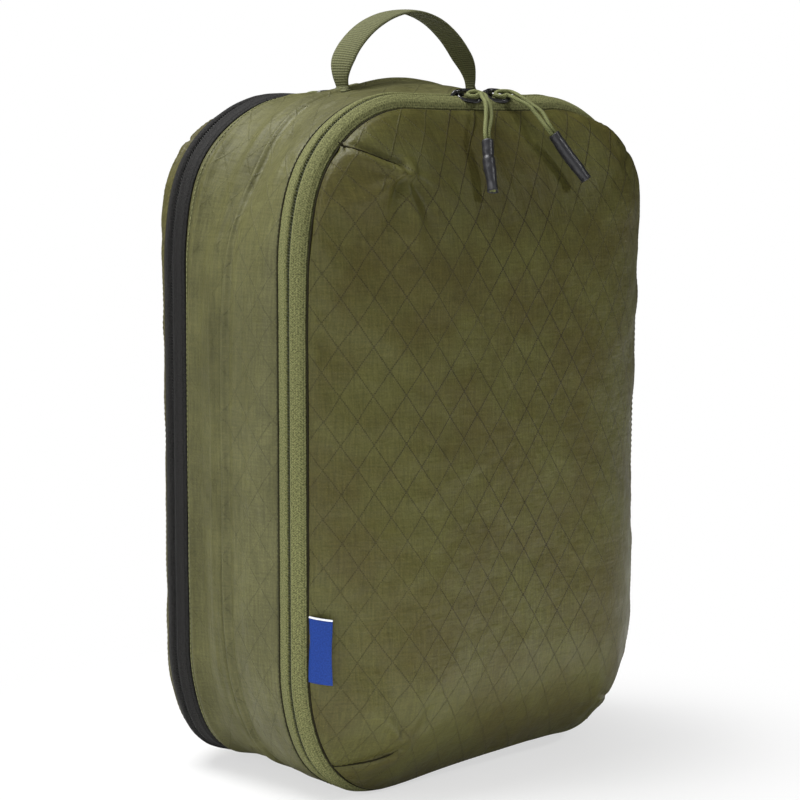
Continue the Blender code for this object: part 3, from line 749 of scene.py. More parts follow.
# ---------------------------------------------------------------- hinge strips (one cloth across each fold)
def hinge_strip(w, sgn, seam, mat):
    ts = np.linspace(0.0, 1.0, 15)
    idx = np.r_[np.arange(NS - first, NS), np.arange(0, first + 1)]
    P = band_points(sgn, seam, ts, idx=idx)
    P[..., 2] = P[..., 2] + 0.0003 + 0.0006 * np.abs(vnoise(P[..., 0] * 60, P[..., 1] * 90, 0.0, 31)) * np.sin(PI * ts)[None, :]
    UV = P[..., :2].copy()
    o = grid(f"{w}_base_fold_cloth", P, UV, thick=0.0)
    me = o.data
    m = o.modifiers.new("cloth", "SOLIDIFY")
    m.thickness = 0.0006
    m.offset = 0.0
    outward(o, (0, 0, H / 2))
    o.data.materials.clear()
    o.data.materials.append(mat)
    a, b = (0.0, sgn * (GAP_Y - 0.0030), 0.0), (0.0, sgn * (GAP_Y + 0.0030), 0.0)
    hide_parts(f"{w}_hinge_strip_body", f"{w}_hinge_strip_lid")
    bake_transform(o)
    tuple(a)
    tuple(b)


hinge_strip("front", -1, SEAM_F, M_FRONT)
hinge_strip("rear", 1, SEAM_R, M_BACK)


# ---------------------------------------------------------------- stuffed panels
def seam_distance(X, Z, SX, SZ):
    sh = X.shape
    p = np.c_[X.ravel(), Z.ravel()]
    q = np.c_[SX, SZ][::2]
    out = np.empty(len(p))
    for k in range(0, len(p), 4000):
        d = ((p[k:k + 4000, None, :] - q[None]) ** 2).sum(-1)
        out[k:k + 4000] = np.sqrt(d.min(1))
    return out.reshape(sh)


def seg_dist(X, Z, a, b):
    """Distance to segment ab, share along it, and signed side (positive to the left of a->b)."""
    a, b = np.array(a), np.array(b)
    d = b - a
    L = np.linalg.norm(d)
    d = d / L
    px, pz = X - a[0], Z - a[1]
    t = px * d[0] + pz * d[1]
    side = d[0] * pz - d[1] * px
    tc = np.clip(t, 0, L)
    dist = np.hypot(px - d[0] * tc, pz - d[1] * tc)
    return dist, t / L, side


def cloth_uv(SX, SZ, bulge, power, reach):
    """Distances measured over the swollen cloth, so that its pattern isn't stretched on the slopes."""
    gx, gz = np.linspace(-0.140, 0.140, 141), np.linspace(-0.005, 0.375, 191)
    GX, GZ = np.meshgrid(gx, gz, indexing="ij")
    D = seam_distance(GX, GZ, SX, SZ)
    ca, cr = np.arctan2(SZ - 0.18, SX), np.hypot(SX, SZ - 0.18)
    k = np.argsort(ca)
    inside = np.hypot(GX, GZ - 0.18) < np.interp(np.arctan2(GZ - 0.18, GX), ca[k], cr[k], period=2 * PI)
    h = bulge * (1 - (1 - np.clip(np.where(inside, D, 0) / reach, 0, 1)) ** power)
    hx, hz = np.gradient(h, gx, axis=0), np.gradient(h, gz, axis=1)
    su = np.sqrt(1 + np.clip(hx, -1.1, 1.1) ** 2)
    sv = np.sqrt(1 + np.clip(hz, -1.1, 1.1) ** 2)
    U = np.cumsum(su, 0) * (gx[1] - gx[0])
    V = np.cumsum(sv, 1) * (gz[1] - gz[0])
    U = U - U[70:71]
    V = V - V[:, 93:94] + 0.180

    def at(x, z):
        fx, fz = np.clip((x - gx[0]) / (gx[1] - gx[0]), 0, 139.999), np.clip((z - gz[0]) / (gz[1] - gz[0]), 0, 189.999)
        i, j = fx.astype(int), fz.astype(int)
        a, b = fx - i, fz - j
        lerp = lambda A: (A[i, j] * (1 - a) * (1 - b) + A[i + 1, j] * a * (1 - b) + A[i, j + 1] * (1 - a) * b + A[i + 1, j + 1] * a * b)
        return lerp(U), lerp(V)
    return at


def panel(w, sgn, seam, mat, node, darts, lip, bulge, power, reach, seed, nr=110):
    edge = EDGE_F if seam is SEAM_F else EDGE_R
    SX = OX + ON[:, 0] * (seam + edge)
    SZ = OZ + ON[:, 1] * (seam + edge)
    SZ = np.maximum(SZ, 0.0003)
    cx, cz = float(SX.mean()), 0.185
    g = np.linspace(0, 1, nr)
    g = np.r_[0, 0, 0, (np.linspace(0, 1, nr - 3) * 0.50 + 0.50 * np.linspace(0, 1, nr - 3) ** 1.7)]
    RL = np.hypot(SX - cx, SZ - cz)
    start = np.r_[0.0017, 0.0012, 0.0008, np.full(nr - 3, 0.0010)]
    r = 1 - (start[None, :] / RL[:, None] + (0.996 - start[None, :] / RL[:, None]) * g[None, :])
    X = cx + (SX - cx)[:, None] * r
    Z = cz + (SZ - cz)[:, None] * r
    D = seam_distance(X, Z, SX, SZ)
    boxy = sstep(0.262, 0.325, Z) * sstep(0.050, 0.095, np.abs(X)) * (np.where(X > 0, 1.0, 0.55) if sgn < 0 else 0.8)
    boxy_b = (1 - sstep(0.020, 0.080, Z)) * sstep(0.060, 0.105, np.abs(X))
    q = np.clip(D / (reach - 0.034 * boxy - 0.024 * boxy_b), 0, 1)
    h = bulge * (1 - (1 - q) ** power)
    # slow hollows and swells of folded clothes behind thin cloth
    inner = sstep(0.004, 0.040, D)
    h = h + inner * (0.0020 * fbm(X * 13, Z * 11, 0.2, seed, 2) + 0.00085 * fbm(X * 38, Z * 30, 4.2, seed + 3, 3))
    # puckers that run in from the side seams
    edge = np.exp(-D / 0.016) * sstep(0.0, 0.004, D)
    sv = OS[:, None]
    h = h + edge * 0.0016 * fbm(sv * 62.0, D * 14.0, 0.0, seed + 7, 2)
    edge2 = np.exp(-D / 0.045) * sstep(0.0, 0.010, D)
    h = h + edge2 * np.where(X < 0, 0.0030, 0.0018) * fbm(sv * 27.0 + D * 4.0, D * 9.0, 2.0, seed + 11, 2)
    for a, b, depth, puff in darts:
        dist, t, side = seg_dist(X, Z, a, b)
        along = sstep(-0.05, 0.10, t) * (1 - sstep(0.88, 1.02, t))
        far = sstep(0.0, 0.9, t)
        lower = side * np.sign(puff)                      # positive on the side the cloth rolls over from
        h = h - depth * along * np.exp(-(dist / 0.0014) ** 2)
        # cloth rolls over the dart from one side, most of all towards its inner end
        roll = np.exp(-((lower - 0.0048) / 0.0034) ** 2)
        h = h + 1.35 * abs(puff) * along * (0.15 + 0.85 * far ** 1.5) * roll
        # past the end the cloth puckers up, then folds fan back towards the seam
        bx, bz = b
        rr = np.hypot(X - bx, Z - bz)
        ang = np.arctan2(Z - bz, X - bx)
        base_ang = math.atan2(b[1] - a[1], b[0] - a[0])
        da = np.angle(np.exp(1j * (ang - base_ang))) * (-1 if b[1] > 0.2 else 1)
        h = h + 0.9 * abs(puff) * np.exp(-((rr - 0.0048) / 0.0026) ** 2) * (0.5 + 0.5 * np.cos(da - 0.9))
        h = h - 0.0010 * np.exp(-(rr / 0.0022) ** 2)
        for mid_a, wide, amp, reach_r in ((2.05, 0.16, 1.0, 0.040), (1.62, 0.14, -0.9, 0.040), (1.20, 0.17, 0.8, 0.036), (0.70, 0.20, -0.6, 0.030), (0.15, 0.22, 0.45, 0.026)):
            fold = np.exp(-((da - mid_a - 0.25 * fbm(X * 40, Z * 40, 0, 7, 2)) / wide) ** 2) * np.exp(-((rr - 0.014) / reach_r) ** 2) * sstep(0.003, 0.012, rr)
            h = h + 0.75 * abs(puff) * amp * fold
    # calm the cloth where the rows meet in the middle
    pole = np.exp(-((X - cx) ** 2 + (Z - cz) ** 2) / 0.016 ** 2)
    h = h * (1 - pole) + float(h[:, -1].mean()) * pole
    # the edge is turned in and sewn to the tape
    hem = np.zeros(nr)
    hem[0], hem[1], hem[2] = -0.0022, -0.0012, -0.0003
    h[:, 0] = h[:, 1] = h[:, 2] = h[:, 3]
    h = h + hem[None, :]
    P = np.empty((NS, nr, 3))
    out = lip * np.exp(-((D - 0.0045) / 0.0042) ** 2) + (np.where(sgn < 0, 0.0046, 0.0026) * boxy + 0.0010 * boxy_b) * np.exp(-((D - 0.008) / 0.007) ** 2)
    out = out * sstep(0.0009, 0.0035, D)
    P[..., 0] = X + ON[:, 0][:, None] * out
    P[..., 2] = np.maximum(Z + ON[:, 1][:, None] * out * sstep(0.0, 0.01, OZ)[:, None], 0.0006)
    P[..., 1] = sgn * (SEAM_Y + 0.0004 + h)
    P[..., 2] += lift(P[..., 0], np.full_like(Z, sgn * SEAM_Y), P[..., 2])
    uv_at = cloth_uv(SX, SZ, bulge, power, reach)
    U, V = uv_at(X, Z)
    UV = np.stack([U * (1 if sgn < 0 else -1), V], -1)
    o = grid(f"{w}_panel_cloth", P, UV, cu=True, thick=0.0)
    # close the middle
    me = o.data
    import bmesh
    bm = bmesh.new()
    bm.from_mesh(me)
    bm.verts.ensure_lookup_table()
    uvl = bm.loops.layers.uv["UVMap"]
    c = bm.verts.new(P[:, -1].mean(0))
    bm.verts.ensure_lookup_table()
    for i in range(NS):
        a, b = bm.verts[i * nr + nr - 1], bm.verts[((i + 1) % NS) * nr + nr - 1]
        f = bm.faces.new((a, b, c))
        f.smooth = True
    bmesh.ops.recalc_face_normals(bm, faces=bm.faces)
    cu, cv = float(U[:, -1].mean()) * (1 if sgn < 0 else -1), float(V[:, -1].mean())
    bm.verts.index_update()
    flat_u, flat_v = U.reshape(-1) * (1 if sgn < 0 else -1), V.reshape(-1)
    for f in bm.faces:
        for l in f.loops:
            i = l.vert.index
            l[uvl].uv = (cu, cv) if i >= NS * nr else (flat_u[i], flat_v[i])
    bm.to_mesh(me)
    bm.free()
    outward(o, (0, 0, H / 2))
    m = o.modifiers.new("cloth", "SOLIDIFY")
    m.thickness = 0.0008
    m.offset = -1.0
    finish_piece(o, mat, f"{w}_lid", [node])
    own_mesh(o)
    return P


def dart_line(w, sgn, P, a, b, k):
    """The dart's crease: a thin dark line lying in its groove, painted shade of a fold the mesh is too coarse to carve.
    """
    n = 30
    t0 = 0.20 if k == 0 else 0.06
    t = np.linspace(t0, 0.97, n)
    lx, lz = a[0] + (b[0] - a[0]) * t, a[1] + (b[1] - a[1]) * t
    lz = lz - 0.0012 * np.sin(PI * t * 0.9)
    flat = P[:, 3:].reshape(-1, 3)
    pts = []
    for x, z in zip(lx, lz):
        d = (flat[:, 0] - x) ** 2 + (flat[:, 2] - z) ** 2
        j = np.argsort(d)[:6]
        wgt = 1 / (d[j] + 1e-9)
        y = float((flat[j, 1] * wgt).sum() / wgt.sum())
        pts.append((x, y + sgn * 0.00005, z))
    rad = (0.00070 if k == 0 else 0.00056) * np.clip(np.minimum((t - t0 + 0.04) / 0.08, (0.97 - t) / 0.18), 0.25, 1)
    o = tube_mesh(f"{w}_dart_crease_shade_{k}", pts, rad, 6, squash=0.7)
    finish_piece(o, M_SHADE_LINE, f"{w}_lid")
    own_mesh(o)


HX = W / 2
FRONT_DARTS = [
    ((-HX + 0.0145, 0.3400), (-0.0745, 0.3245), 0.0028, -0.0040),
    ((-HX + 0.0180, 0.0190), (-0.0760, 0.0275), 0.0024, -0.0020),
    ((HX - 0.012, 0.3340), (0.0860, 0.3230), 0.0012, 0.0007),
    ((HX - 0.022, 0.0220), (0.0780, 0.0290), 0.0012, 0.0007),
]
PP = panel("front", -1, SEAM_F, M_FRONT, "front_panel", FRONT_DARTS, 0.0005, 0.0330, 2.35, 0.082, 41, nr=130)
PB = panel("rear", 1, SEAM_R, M_BACK, "rear_panel", [(a, b, d, p) for a, b, d, p in FRONT_DARTS], 0.0016, 0.0330, 2.5, 0.080, 77, nr=120)

# painted shade lines in the dart creases, front and rear
for k_ in (0, 1):
    dart_line("front", -1, PP, FRONT_DARTS[k_][0], FRONT_DARTS[k_][1], k_)
    dart_line("rear", 1, PB, FRONT_DARTS[k_][0], FRONT_DARTS[k_][1], k_)


# ---------------------------------------------------------------- binding inside each lid, and the divider
def binding(w, sgn, seam):
    P = band_points(sgn, seam, np.linspace(0.74, 0.985, 5), sink=0.0014)
    P[..., 2] = np.maximum(P[..., 2], 0.0016)
    UV = np.stack([np.broadcast_to(OS[:, None], P.shape[:2]), np.broadcast_to(P[..., 1], P.shape[:2])], -1)
    o = grid(f"{w}_seam_binding", P, UV, cu=True, thick=0.0005)
    outward(o, (0, 0, H / 2), True)
    finish_piece(o, M_BIND, f"{w}_lid", [f"{w}_lid_binding"])


binding("front", -1, SEAM_F)
binding("rear", 1, SEAM_R)


def divider():
    nr = 60
    r = np.linspace(1, 0.01, nr)
    k = CROWN + 0.6 * CROWN_R + 0.0003
    SX, SZ = OX + ON[:, 0] * k, np.maximum(OZ + ON[:, 1] * k, 0.0010)
    X = SX[:, None] * r[None, :]
    Z = 0.18 + (SZ - 0.18)[:, None] * r[None, :]
    Y = 0.0016 * fbm(X * 16, Z * 12, 0, 91, 3) * (1 - r[None, :]) ** 0.5
    P = np.stack([X, Y, Z], -1)
    o = grid("divider_cloth", P, np.stack([X, Z], -1), cu=True)
    import bmesh
    bm = bmesh.new()
    bm.from_mesh(o.data)
    e = [e for e in bm.edges if e.is_boundary and all((v.co - Vector((0, v.co.y, 0.18))).length < 0.01 for v in e.verts)]
    bmesh.ops.holes_fill(bm, edges=e, sides=0)
    bm.to_mesh(o.data)
    bm.free()
    m = o.modifiers.new("cloth", "SOLIDIFY")
    m.thickness = 0.0005
    m.offset = 0.0
    finish_piece(o, M_LINING, "bag_body", ["divider_panel"])


divider()

# ---------------------------------------------------------------- handle
AX_Z = H + 0.0055


def handle():
    n = 96
    u = np.linspace(0, 1, n)
    key = np.array([
        (-0.0475, 0.3640), (-0.0490, 0.3710), (-0.0475, 0.3790), (-0.0415, 0.3880), (-0.0300, 0.3975), (-0.0150, 0.4042),
        (0.0010, 0.4062), (0.0170, 0.4022), (0.0310, 0.3930), (0.0420, 0.3805), (0.0462, 0.3720), (0.0470, 0.3640),
    ])
    c = smooth_path(np.c_[key[:, 0], np.zeros(len(key)), key[:, 1]], n - 1)
    T = np.gradient(c, axis=0)
    T /= np.linalg.norm(T, axis=1)[:, None]
    Nn = np.c_[-T[:, 2], np.zeros(n), T[:, 0]]
    L = np.r_[0, np.cumsum(np.linalg.norm(np.diff(c, axis=0), axis=1))]
    Lt = L[-1]
    e = np.minimum(L, Lt - L)
    half = 0.0034 + (0.0075 - 0.0034) * sstep(0.001, 0.022, e)
    half = np.where(L < Lt / 2, 0.0042 + (0.0076 - 0.0042) * sstep(0.000, 0.018, e), half)
    twist = 0.16 * np.sin(u * PI * 2) + 0.06
    th = 0.0016
    prof = []
    m = 14
    for k in range(m + 1):
        prof.append((-1 + 2 * k / m, 1))
    for k in range(m + 1):
        prof.append((1 - 2 * k / m, -1))
    rows = []
    uv = []
    for i in range(n):
        ring, ur = [], []
        side = np.array([0, 1.0, 0]) * math.cos(twist[i]) + Nn[i] * math.sin(twist[i])
        up = Nn[i] * math.cos(twist[i]) - np.array([0, 1.0, 0]) * math.sin(twist[i])
        for a, s in prof:
            thin = th / 2 * (1 - 0.45 * abs(a) ** 6)
            cup = -0.0006 * (a * a - 0.4)
            ring.append(c[i] + side * a * half[i] + up * (s * thin + cup))
            ur.append((L[i], a * half[i] + (0.02 if s < 0 else 0)))
        rows.append(ring)
        uv.append(ur)
    R = np.array(rows)
    nv = R.shape[1]
    verts = R.reshape(-1, 3).tolist()
    faces, uvs = [], []
    UVv = np.array(uv)
    for i in range(n - 1):
        for j in range(nv):
            j2 = (j + 1) % nv
            faces.append((i * nv + j, i * nv + j2, (i + 1) * nv + j2, (i + 1) * nv + j))
            uvs += [UVv[i, j], UVv[i, j2], UVv[i + 1, j2], UVv[i + 1, j]]
    faces.append(tuple(range(nv)))
    uvs += [UVv[0, j] for j in range(nv)]
    faces.append(tuple((n - 1) * nv + j for j in range(nv))[::-1])
    uvs += [UVv[-1, j] for j in range(nv)][::-1]
    me = bpy.data.meshes.new("handle_strap")
    me.from_pydata(verts, [], faces)
    lay = me.uv_layers.new(name="UVMap")
    lay.data.foreach_set("uv", np.array(uvs, np.float32).reshape(-1))
    import bmesh
    bm = bmesh.new()
    bm.from_mesh(me)
    bmesh.ops.recalc_face_normals(bm, faces=bm.faces)
    bm.to_mesh(me)
    bm.free()
    me.shade_smooth()
    o = bpy.data.objects.new("handle_strap", me)
    SCENE.objects.link(o)
    finish_piece(o, M_WEB, "handle", ["handle_webbing"])


handle()


def handle_foot(side, x, lean):
    """The gathered end of the webbing, sewn down over the middle seam."""
    i = int(np.argmin(np.where(OZ > 0.3, np.abs(OX - x), 9)))
    z0 = H + CROWN[i] + 0.0006
    z1 = AX_Z + 0.0012
    top_half = 0.0042 if side == "left" else 0.0034
    rows, uvs = [], []
    n = 16
    for k in range(n):
        t = k / (n - 1)
        z = z0 - 0.0012 + (z1 - z0 + 0.0012) * t
        half = 0.0062 * (1 - t) ** 1.5 + top_half * (1 - (1 - t) ** 1.5)
        wid = 0.0034 * (1 - t) ** 2 + 0.0010
        xx = x + lean * t
        ring, ur = [], []
        for q in range(20):
            a = 2 * PI * q / 20
            f = 1 + 0.10 * math.sin(a * 5 + k * 1.3)
            ring.append((xx + wid * math.cos(a) * f, half * math.sin(a) * f, z + 0.0002 * math.sin(a * 3)))
            ur.append((z, half * math.sin(a)))
        rows.append(ring)
        uvs.append(ur)
    o = grid(f"handle_foot_{side}", np.array(rows).transpose(1, 0, 2), np.array(uvs).transpose(1, 0, 2), cu=True)
    import bmesh
    bm = bmesh.new()
    bm.from_mesh(o.data)
    bmesh.ops.holes_fill(bm, edges=[e for e in bm.edges if e.is_boundary], sides=0)
    bmesh.ops.recalc_face_normals(bm, faces=bm.faces)
    bm.to_mesh(o.data)
    bm.free()
    finish_piece(o, M_WEB, "bag_body", [f"handle_base_{side}"])


handle_foot("left", -0.0475, 0.0)
handle_foot("right", 0.0470, 0.0)

# ---------------------------------------------------------------- sliders and pulls
TILT = math.atan2(0.0060, BAND)
PULLS = {
    "left": (-0.0095, 37, -4, 12, (-0.0201, -0.0815, 0.3370), (-0.0263, -0.0915, 0.3112)),
    "right": (0.0115, 22, -3, 12, (0.0285, -0.0815, 0.3405), (0.0420, -0.0925, 0.3165)),
}
RING_LEN, RING_HALF, RING_ROLL = 0.0155, 0.0047, -32


def slider_frame(x):
    t = Vector((0, -math.cos(TILT), -math.sin(TILT)))
    n = Vector((0, -math.sin(TILT), math.cos(TILT)))
    m = Matrix((Vector((1, 0, 0)), t, n)).transposed().to_4x4()
    m.translation = Vector((x, -GAP_Y, H - 0.0030))
    return m


def ring_frame(side):
    x, yaw, pitch, roll = PULLS[side][:4]
    return (slider_frame(x) @ Matrix.Translation((0, 0, 0.0043)) @ Matrix.Rotation(math.radians(yaw), 4, "Z")
            @ Matrix.Rotation(math.radians(pitch), 4, "Y") @ Matrix.Rotation(math.radians(roll + RING_ROLL), 4, "X"))


def turned(pts, rear):
    P = np.array([list(p) for p in pts], float)
    if rear:
        P[..., 0] *= -1
        P[..., 1] *= -1
    return P


def slider_body(w, side):
    rear = w == "rear"
    f = slider_frame(PULLS[side][0])
    import bmesh
    bm = bmesh.new()
    d = -1 if side == "left" else 1
    # top plate: a shield, wider at the nose where the two rows part
    outl = []
    for k in range(28):
        a = 2 * PI * k / 28
        cx, cy = math.cos(a), math.sin(a)
        ex = 0.0062 * np.sign(cx) * abs(cx) ** 0.75
        wide = 0.0048 - 0.0006 * (ex * d / 0.0062)
        outl.append((ex, wide * np.sign(cy) * abs(cy) ** 0.75))
    layers = [(0.90, 0.0003), (1.0, 0.0008), (1.0, 0.0018), (0.94, 0.0025), (0.76, 0.0029)]
    vs = []
    for s, z in layers:
        vs.append([bm.verts.new(f @ Vector((x * s, y * s, z))) for x, y in outl])
    for a, b in zip(vs, vs[1:]):
        for k in range(28):
            bm.faces.new((a[k], a[(k + 1) % 28], b[(k + 1) % 28], b[k]))
    bm.faces.new(vs[0][::-1])
    bm.faces.new(vs[-1])
    bmesh.ops.recalc_face_normals(bm, faces=bm.faces)
    if rear:
        bmesh.ops.transform(bm, matrix=Matrix.Rotation(PI, 4, "Z"), verts=bm.verts)
    me = bpy.data.meshes.new("plate")
    bm.to_mesh(me)
    bm.free()
    me.shade_smooth()
    o = bpy.data.objects.new("plate", me)
    SCENE.objects.link(o)
    arch = [(-0.0038, 0.0010), (-0.0036, 0.0034), (-0.0024, 0.0051), (0.0, 0.0058), (0.0024, 0.0051), (0.0036, 0.0034), (0.0038, 0.0010)]
    pts = turned([f @ Vector((a, 0, b)) for a, b in smooth_path([(p, 0, q) for p, q in arch], 28)[:, [0, 2]]], rear)
    c = tube_mesh("crown", pts, [0.0015 - 0.0003 * abs(2 * k / 28 - 1) for k in range(29)], 14, squash=0.7)
    low = [f @ Vector((0, 0.0012, -0.0034))]
    bm = bmesh.new()
    bmesh.ops.create_cube(bm, size=1.0, matrix=Matrix.Diagonal((0.0098, 0.0046, 0.0010, 1)))
    bmesh.ops.bevel(bm, geom=bm.edges[:], offset=0.0003, segments=2, affect="EDGES")
    bmesh.ops.transform(bm, matrix=f @ Matrix.Translation((0, 0.0012, -0.0036)), verts=bm.verts)
    bm2 = bmesh.new()
    bmesh.ops.create_cube(bm2, size=1.0, matrix=Matrix.Diagonal((0.0040, 0.00055, 0.0048, 1)))
    bmesh.ops.transform(bm2, matrix=f @ Matrix.Translation((0, 0, -0.0012)), verts=bm2.verts)
    objs = [o, c]
    for kk, b in enumerate((bm, bm2)):
        if rear:
            bmesh.ops.transform(b, matrix=Matrix.Rotation(PI, 4, "Z"), verts=b.verts)
        bmesh.ops.recalc_face_normals(b, faces=b.faces)
        me = bpy.data.meshes.new(f"low{kk}")
        b.to_mesh(me)
        b.free()
        q = bpy.data.objects.new(f"low{kk}", me)
        SCENE.objects.link(q)
        objs.append(q)
    o = join(f"{w}_slider_{side}_shell", objs)
    finish_piece(o, M_METAL, f"{w}_slider_{side}_body", [f"{w}_slider_{side}"])


def pull(w, side):
    rear = w == "rear"
    r = ring_frame(side)
    h, ln = RING_HALF, RING_LEN - 0.0030
    loop = [(h - h * math.cos(a), h * math.sin(a)) for a in np.linspace(-PI / 2, PI / 2, 13)]
    loop += [(ln - h + h * math.cos(a), h * math.sin(a)) for a in np.linspace(PI / 2, -PI / 2, 13)]
    # evenly spaced round the ring
    P = np.array([list(r @ Vector((a, b, 0))) for a, b in loop])
    L = np.r_[0, np.cumsum(np.linalg.norm(np.diff(np.vstack([P, P[:1]]), axis=0), axis=1))]
    s = np.linspace(0, L[-1], 73)[:-1]
    Pc = np.vstack([P, P[:1]])
    P = np.stack([np.interp(s, L, Pc[:, k]) for k in range(3)], 1)
    ring = tube_mesh(f"{w}_wire_ring_{side}", turned(P, rear), 0.00118, 14, cyclic=True)
    finish_piece(ring, M_METAL, f"{w}_ring_{side}_body", [f"{w}_pull_ring_{side}"])

    top, tip = Vector(PULLS[side][4]), Vector(PULLS[side][5])
    down = (tip - top).normalized()
    end = r @ Vector((ln, 0, 0))
    across = down.cross(Vector((0, -1, 0))).normalized()
    up = (r.to_3x3() @ Vector((0, 0, 1))).normalized()
    fwd = (r.to_3x3() @ Vector((1, 0, 0))).normalized()
    lat = (r.to_3x3() @ Vector((0, 1, 0))).normalized()
    mid = Vector((end.x + (top.x - end.x) * 0.35, -0.0680, 0.3555))
    objs = []
    # two strands come up from the sleeve, one passes over the ring's end and one under it
    paths = []
    for sg in (1.0, -1.0):
        paths.append([
            tip - down * 0.0006 + across * (0.00125 * sg),
            top + down * 0.0060 + across * (0.00125 * sg),
            top + down * 0.0005 + across * (0.00115 * sg),
            top - down * 0.0050 + across * (0.00125 * sg),
            top.lerp(mid, 0.62) + across * (0.0019 * sg) + Vector((0, -0.0006, 0.0010)),
            mid + across * (0.0017 * sg) + Vector((0, 0, 0.0007 * sg)),
            mid.lerp(end, 0.55) + up * 0.0016 + across * (0.0016 * sg),
            end + up * 0.0021 + fwd * 0.0004 + across * (0.0017 * sg),
            end - fwd * 0.0030 + up * 0.0019 + lat * (0.0021 * sg * (1 if lat.dot(across) > 0 else -1)),
            end - fwd * 0.0058 + up * 0.0012 + lat * (0.0019 * sg * (1 if lat.dot(across) > 0 else -1)),
        ])
    a, b = paths
    whole = a + [end - fwd * 0.0074 + up * 0.0008] + b[::-1]
    objs.append(tube_mesh("strand", turned(smooth_path(whole, 170), rear), 0.00108, 12))
    # the bight that cinches both strands in front of the ring
    k0 = end.lerp(mid, 0.42)
    k1 = (mid - end).normalized()
    e1 = up.cross(k1).normalized()
    e2 = k1.cross(e1).normalized()
    
    loop2 = [end + fwd * 0.0002 + lat * (0.0016 * math.cos(t)) + fwd * (0.0021 * math.sin(t)) + up * 0.0016 * math.cos(2 * t) for t in np.linspace(0, 2 * PI, 33)[:-1]]
    objs.append(tube_mesh("bight2", turned(loop2, rear), 0.00090, 10, cyclic=True))
    # cut ends that show in the sleeve's pinched mouth
    side2 = down.cross(across).normalized()
    for q, (p1, p2) in enumerate(((-0.0014, 0.0003), (0.0014, -0.0003), (0.0002, 0.0012))):
        c0 = tip + across * p1 + side2 * p2
        objs.append(tube_mesh("end%d" % q, turned([c0 - down * 0.005, c0 - down * 0.002, c0 - down * 0.0010, c0 - down * 0.0005], rear), [0.0010, 0.0011, 0.0010, 0.0005], 8))
    o = join(f"{w}_cord_{side}", objs)
    finish_piece(o, M_CORD, f"{w}_pull_{side}_body", [f"{w}_pull_cord_{side}"])

    ln_s = (tip - top).length
    n = 46
    outer, inner = [], []
    for k in range(n):
        t = k / (n - 1)
        if side == "left":
            rad = 0.00300 - 0.00016 * sstep(0.22, 0.30, t) + 0.00040 * sstep(0.31, 0.37, t) - 0.00042 * sstep(0.55, 0.74, t) + 0.00055 * sstep(0.84, 1.0, t)
        else:
            rad = 0.00305 + 0.00020 * sstep(0.10, 0.30, t) - 0.00010 * sstep(0.75, 0.88, t) + 0.00030 * sstep(0.93, 1.0, t)
        rad += 0.00005 * math.sin(t * 37)
        outer.append(rad)
    rows = []
    th = np.linspace(0, 2 * PI, 33)[:-1]
    cen = [top + down * (ln_s * k / (n - 1)) + side2 * (0.0005 * math.sin(k / (n - 1) * PI * 1.4)) for k in range(n)]
    for k in range(n):
        t = k / (n - 1)
        pin = 1 - 0.16 * sstep(0.70, 1.0, t) * (0.5 + 0.5 * np.cos(3 * th + 0.5))
        flat = 1 - 0.14 * sstep(0.6, 1.0, t)
        rr = outer[k] * pin
        rows.append([list(cen[k] + across * float(rr[j] * math.cos(th[j])) + side2 * float(rr[j] * flat * math.sin(th[j]))) for j in range(32)])
    P = turned(np.array(rows), rear)
    UV = np.stack(np.broadcast_arrays(np.linspace(0, ln_s, n)[:, None], th[None, :] * 0.003), -1)
    me_o = grid(f"{w}_sleeve_{side}", P.transpose(1, 0, 2), UV.transpose(1, 0, 2), cu=True)
    outward(me_o, tuple(turned([list((top + tip) / 2)], rear)[0]))
    m = me_o.modifiers.new("wall", "SOLIDIFY")
    m.thickness = 0.0006
    m.offset = -1.0
    finish_piece(me_o, M_SLEEVE, f"{w}_pull_{side}_body", [f"{w}_pull_sleeve_{side}"])


for w_ in ("front", "rear"):
    for s_ in ("left", "right"):
        slider_body(w_, s_)
        pull(w_, s_)


# ---------------------------------------------------------------- the woven label: plain blue, no lettering
def label():
    x0, y0 = -(W / 2 - 0.0036), -(SEAM_Y + 0.0002)
    zt, zb = 0.0990, 0.0660
    nu, nv = 24, 26
    u = np.linspace(0, 1, nu)
    v = np.linspace(0, 1, nv)
    Uu, Vv = np.meshgrid(u, v, indexing="ij")
    ang = np.radians(78) - np.radians(44) * Uu ** 0.8
    step = 0.0128 / (nu - 1)
    dx = np.cumsum(np.cos(ang) * step, 0) - np.cos(ang[0]) * step
    dy = np.cumsum(np.sin(ang) * step, 0) - np.sin(ang[0]) * step
    wave = 0.0004 * np.sin(Vv * 5 + Uu * 2)
    X = x0 + dx - 0.0010 * Uu + wave
    Y = y0 - dy - 0.0008
    Z = zt + (zb - zt) * Vv - 0.0015 * Uu
    P = np.stack([X, Y, Z], -1)
    o = grid("label_cloth", P, np.stack([Uu * 0.015, Vv * 0.033], -1))
    outward(o, (0, 0, H / 2))
    m = o.modifiers.new("cloth", "SOLIDIFY")
    m.thickness = 0.0006
    m.offset = 0.0
    finish_piece(o, M_BLUE, "label", ["woven_label"])
    e = smooth_path(P[:, 0] + np.array([0, 0, 0.0001]), 40)
    t = tube_mesh("label_edge_yarn", e, 0.00055, 8)
    finish_piece(t, M_WHITE, "label")


label()

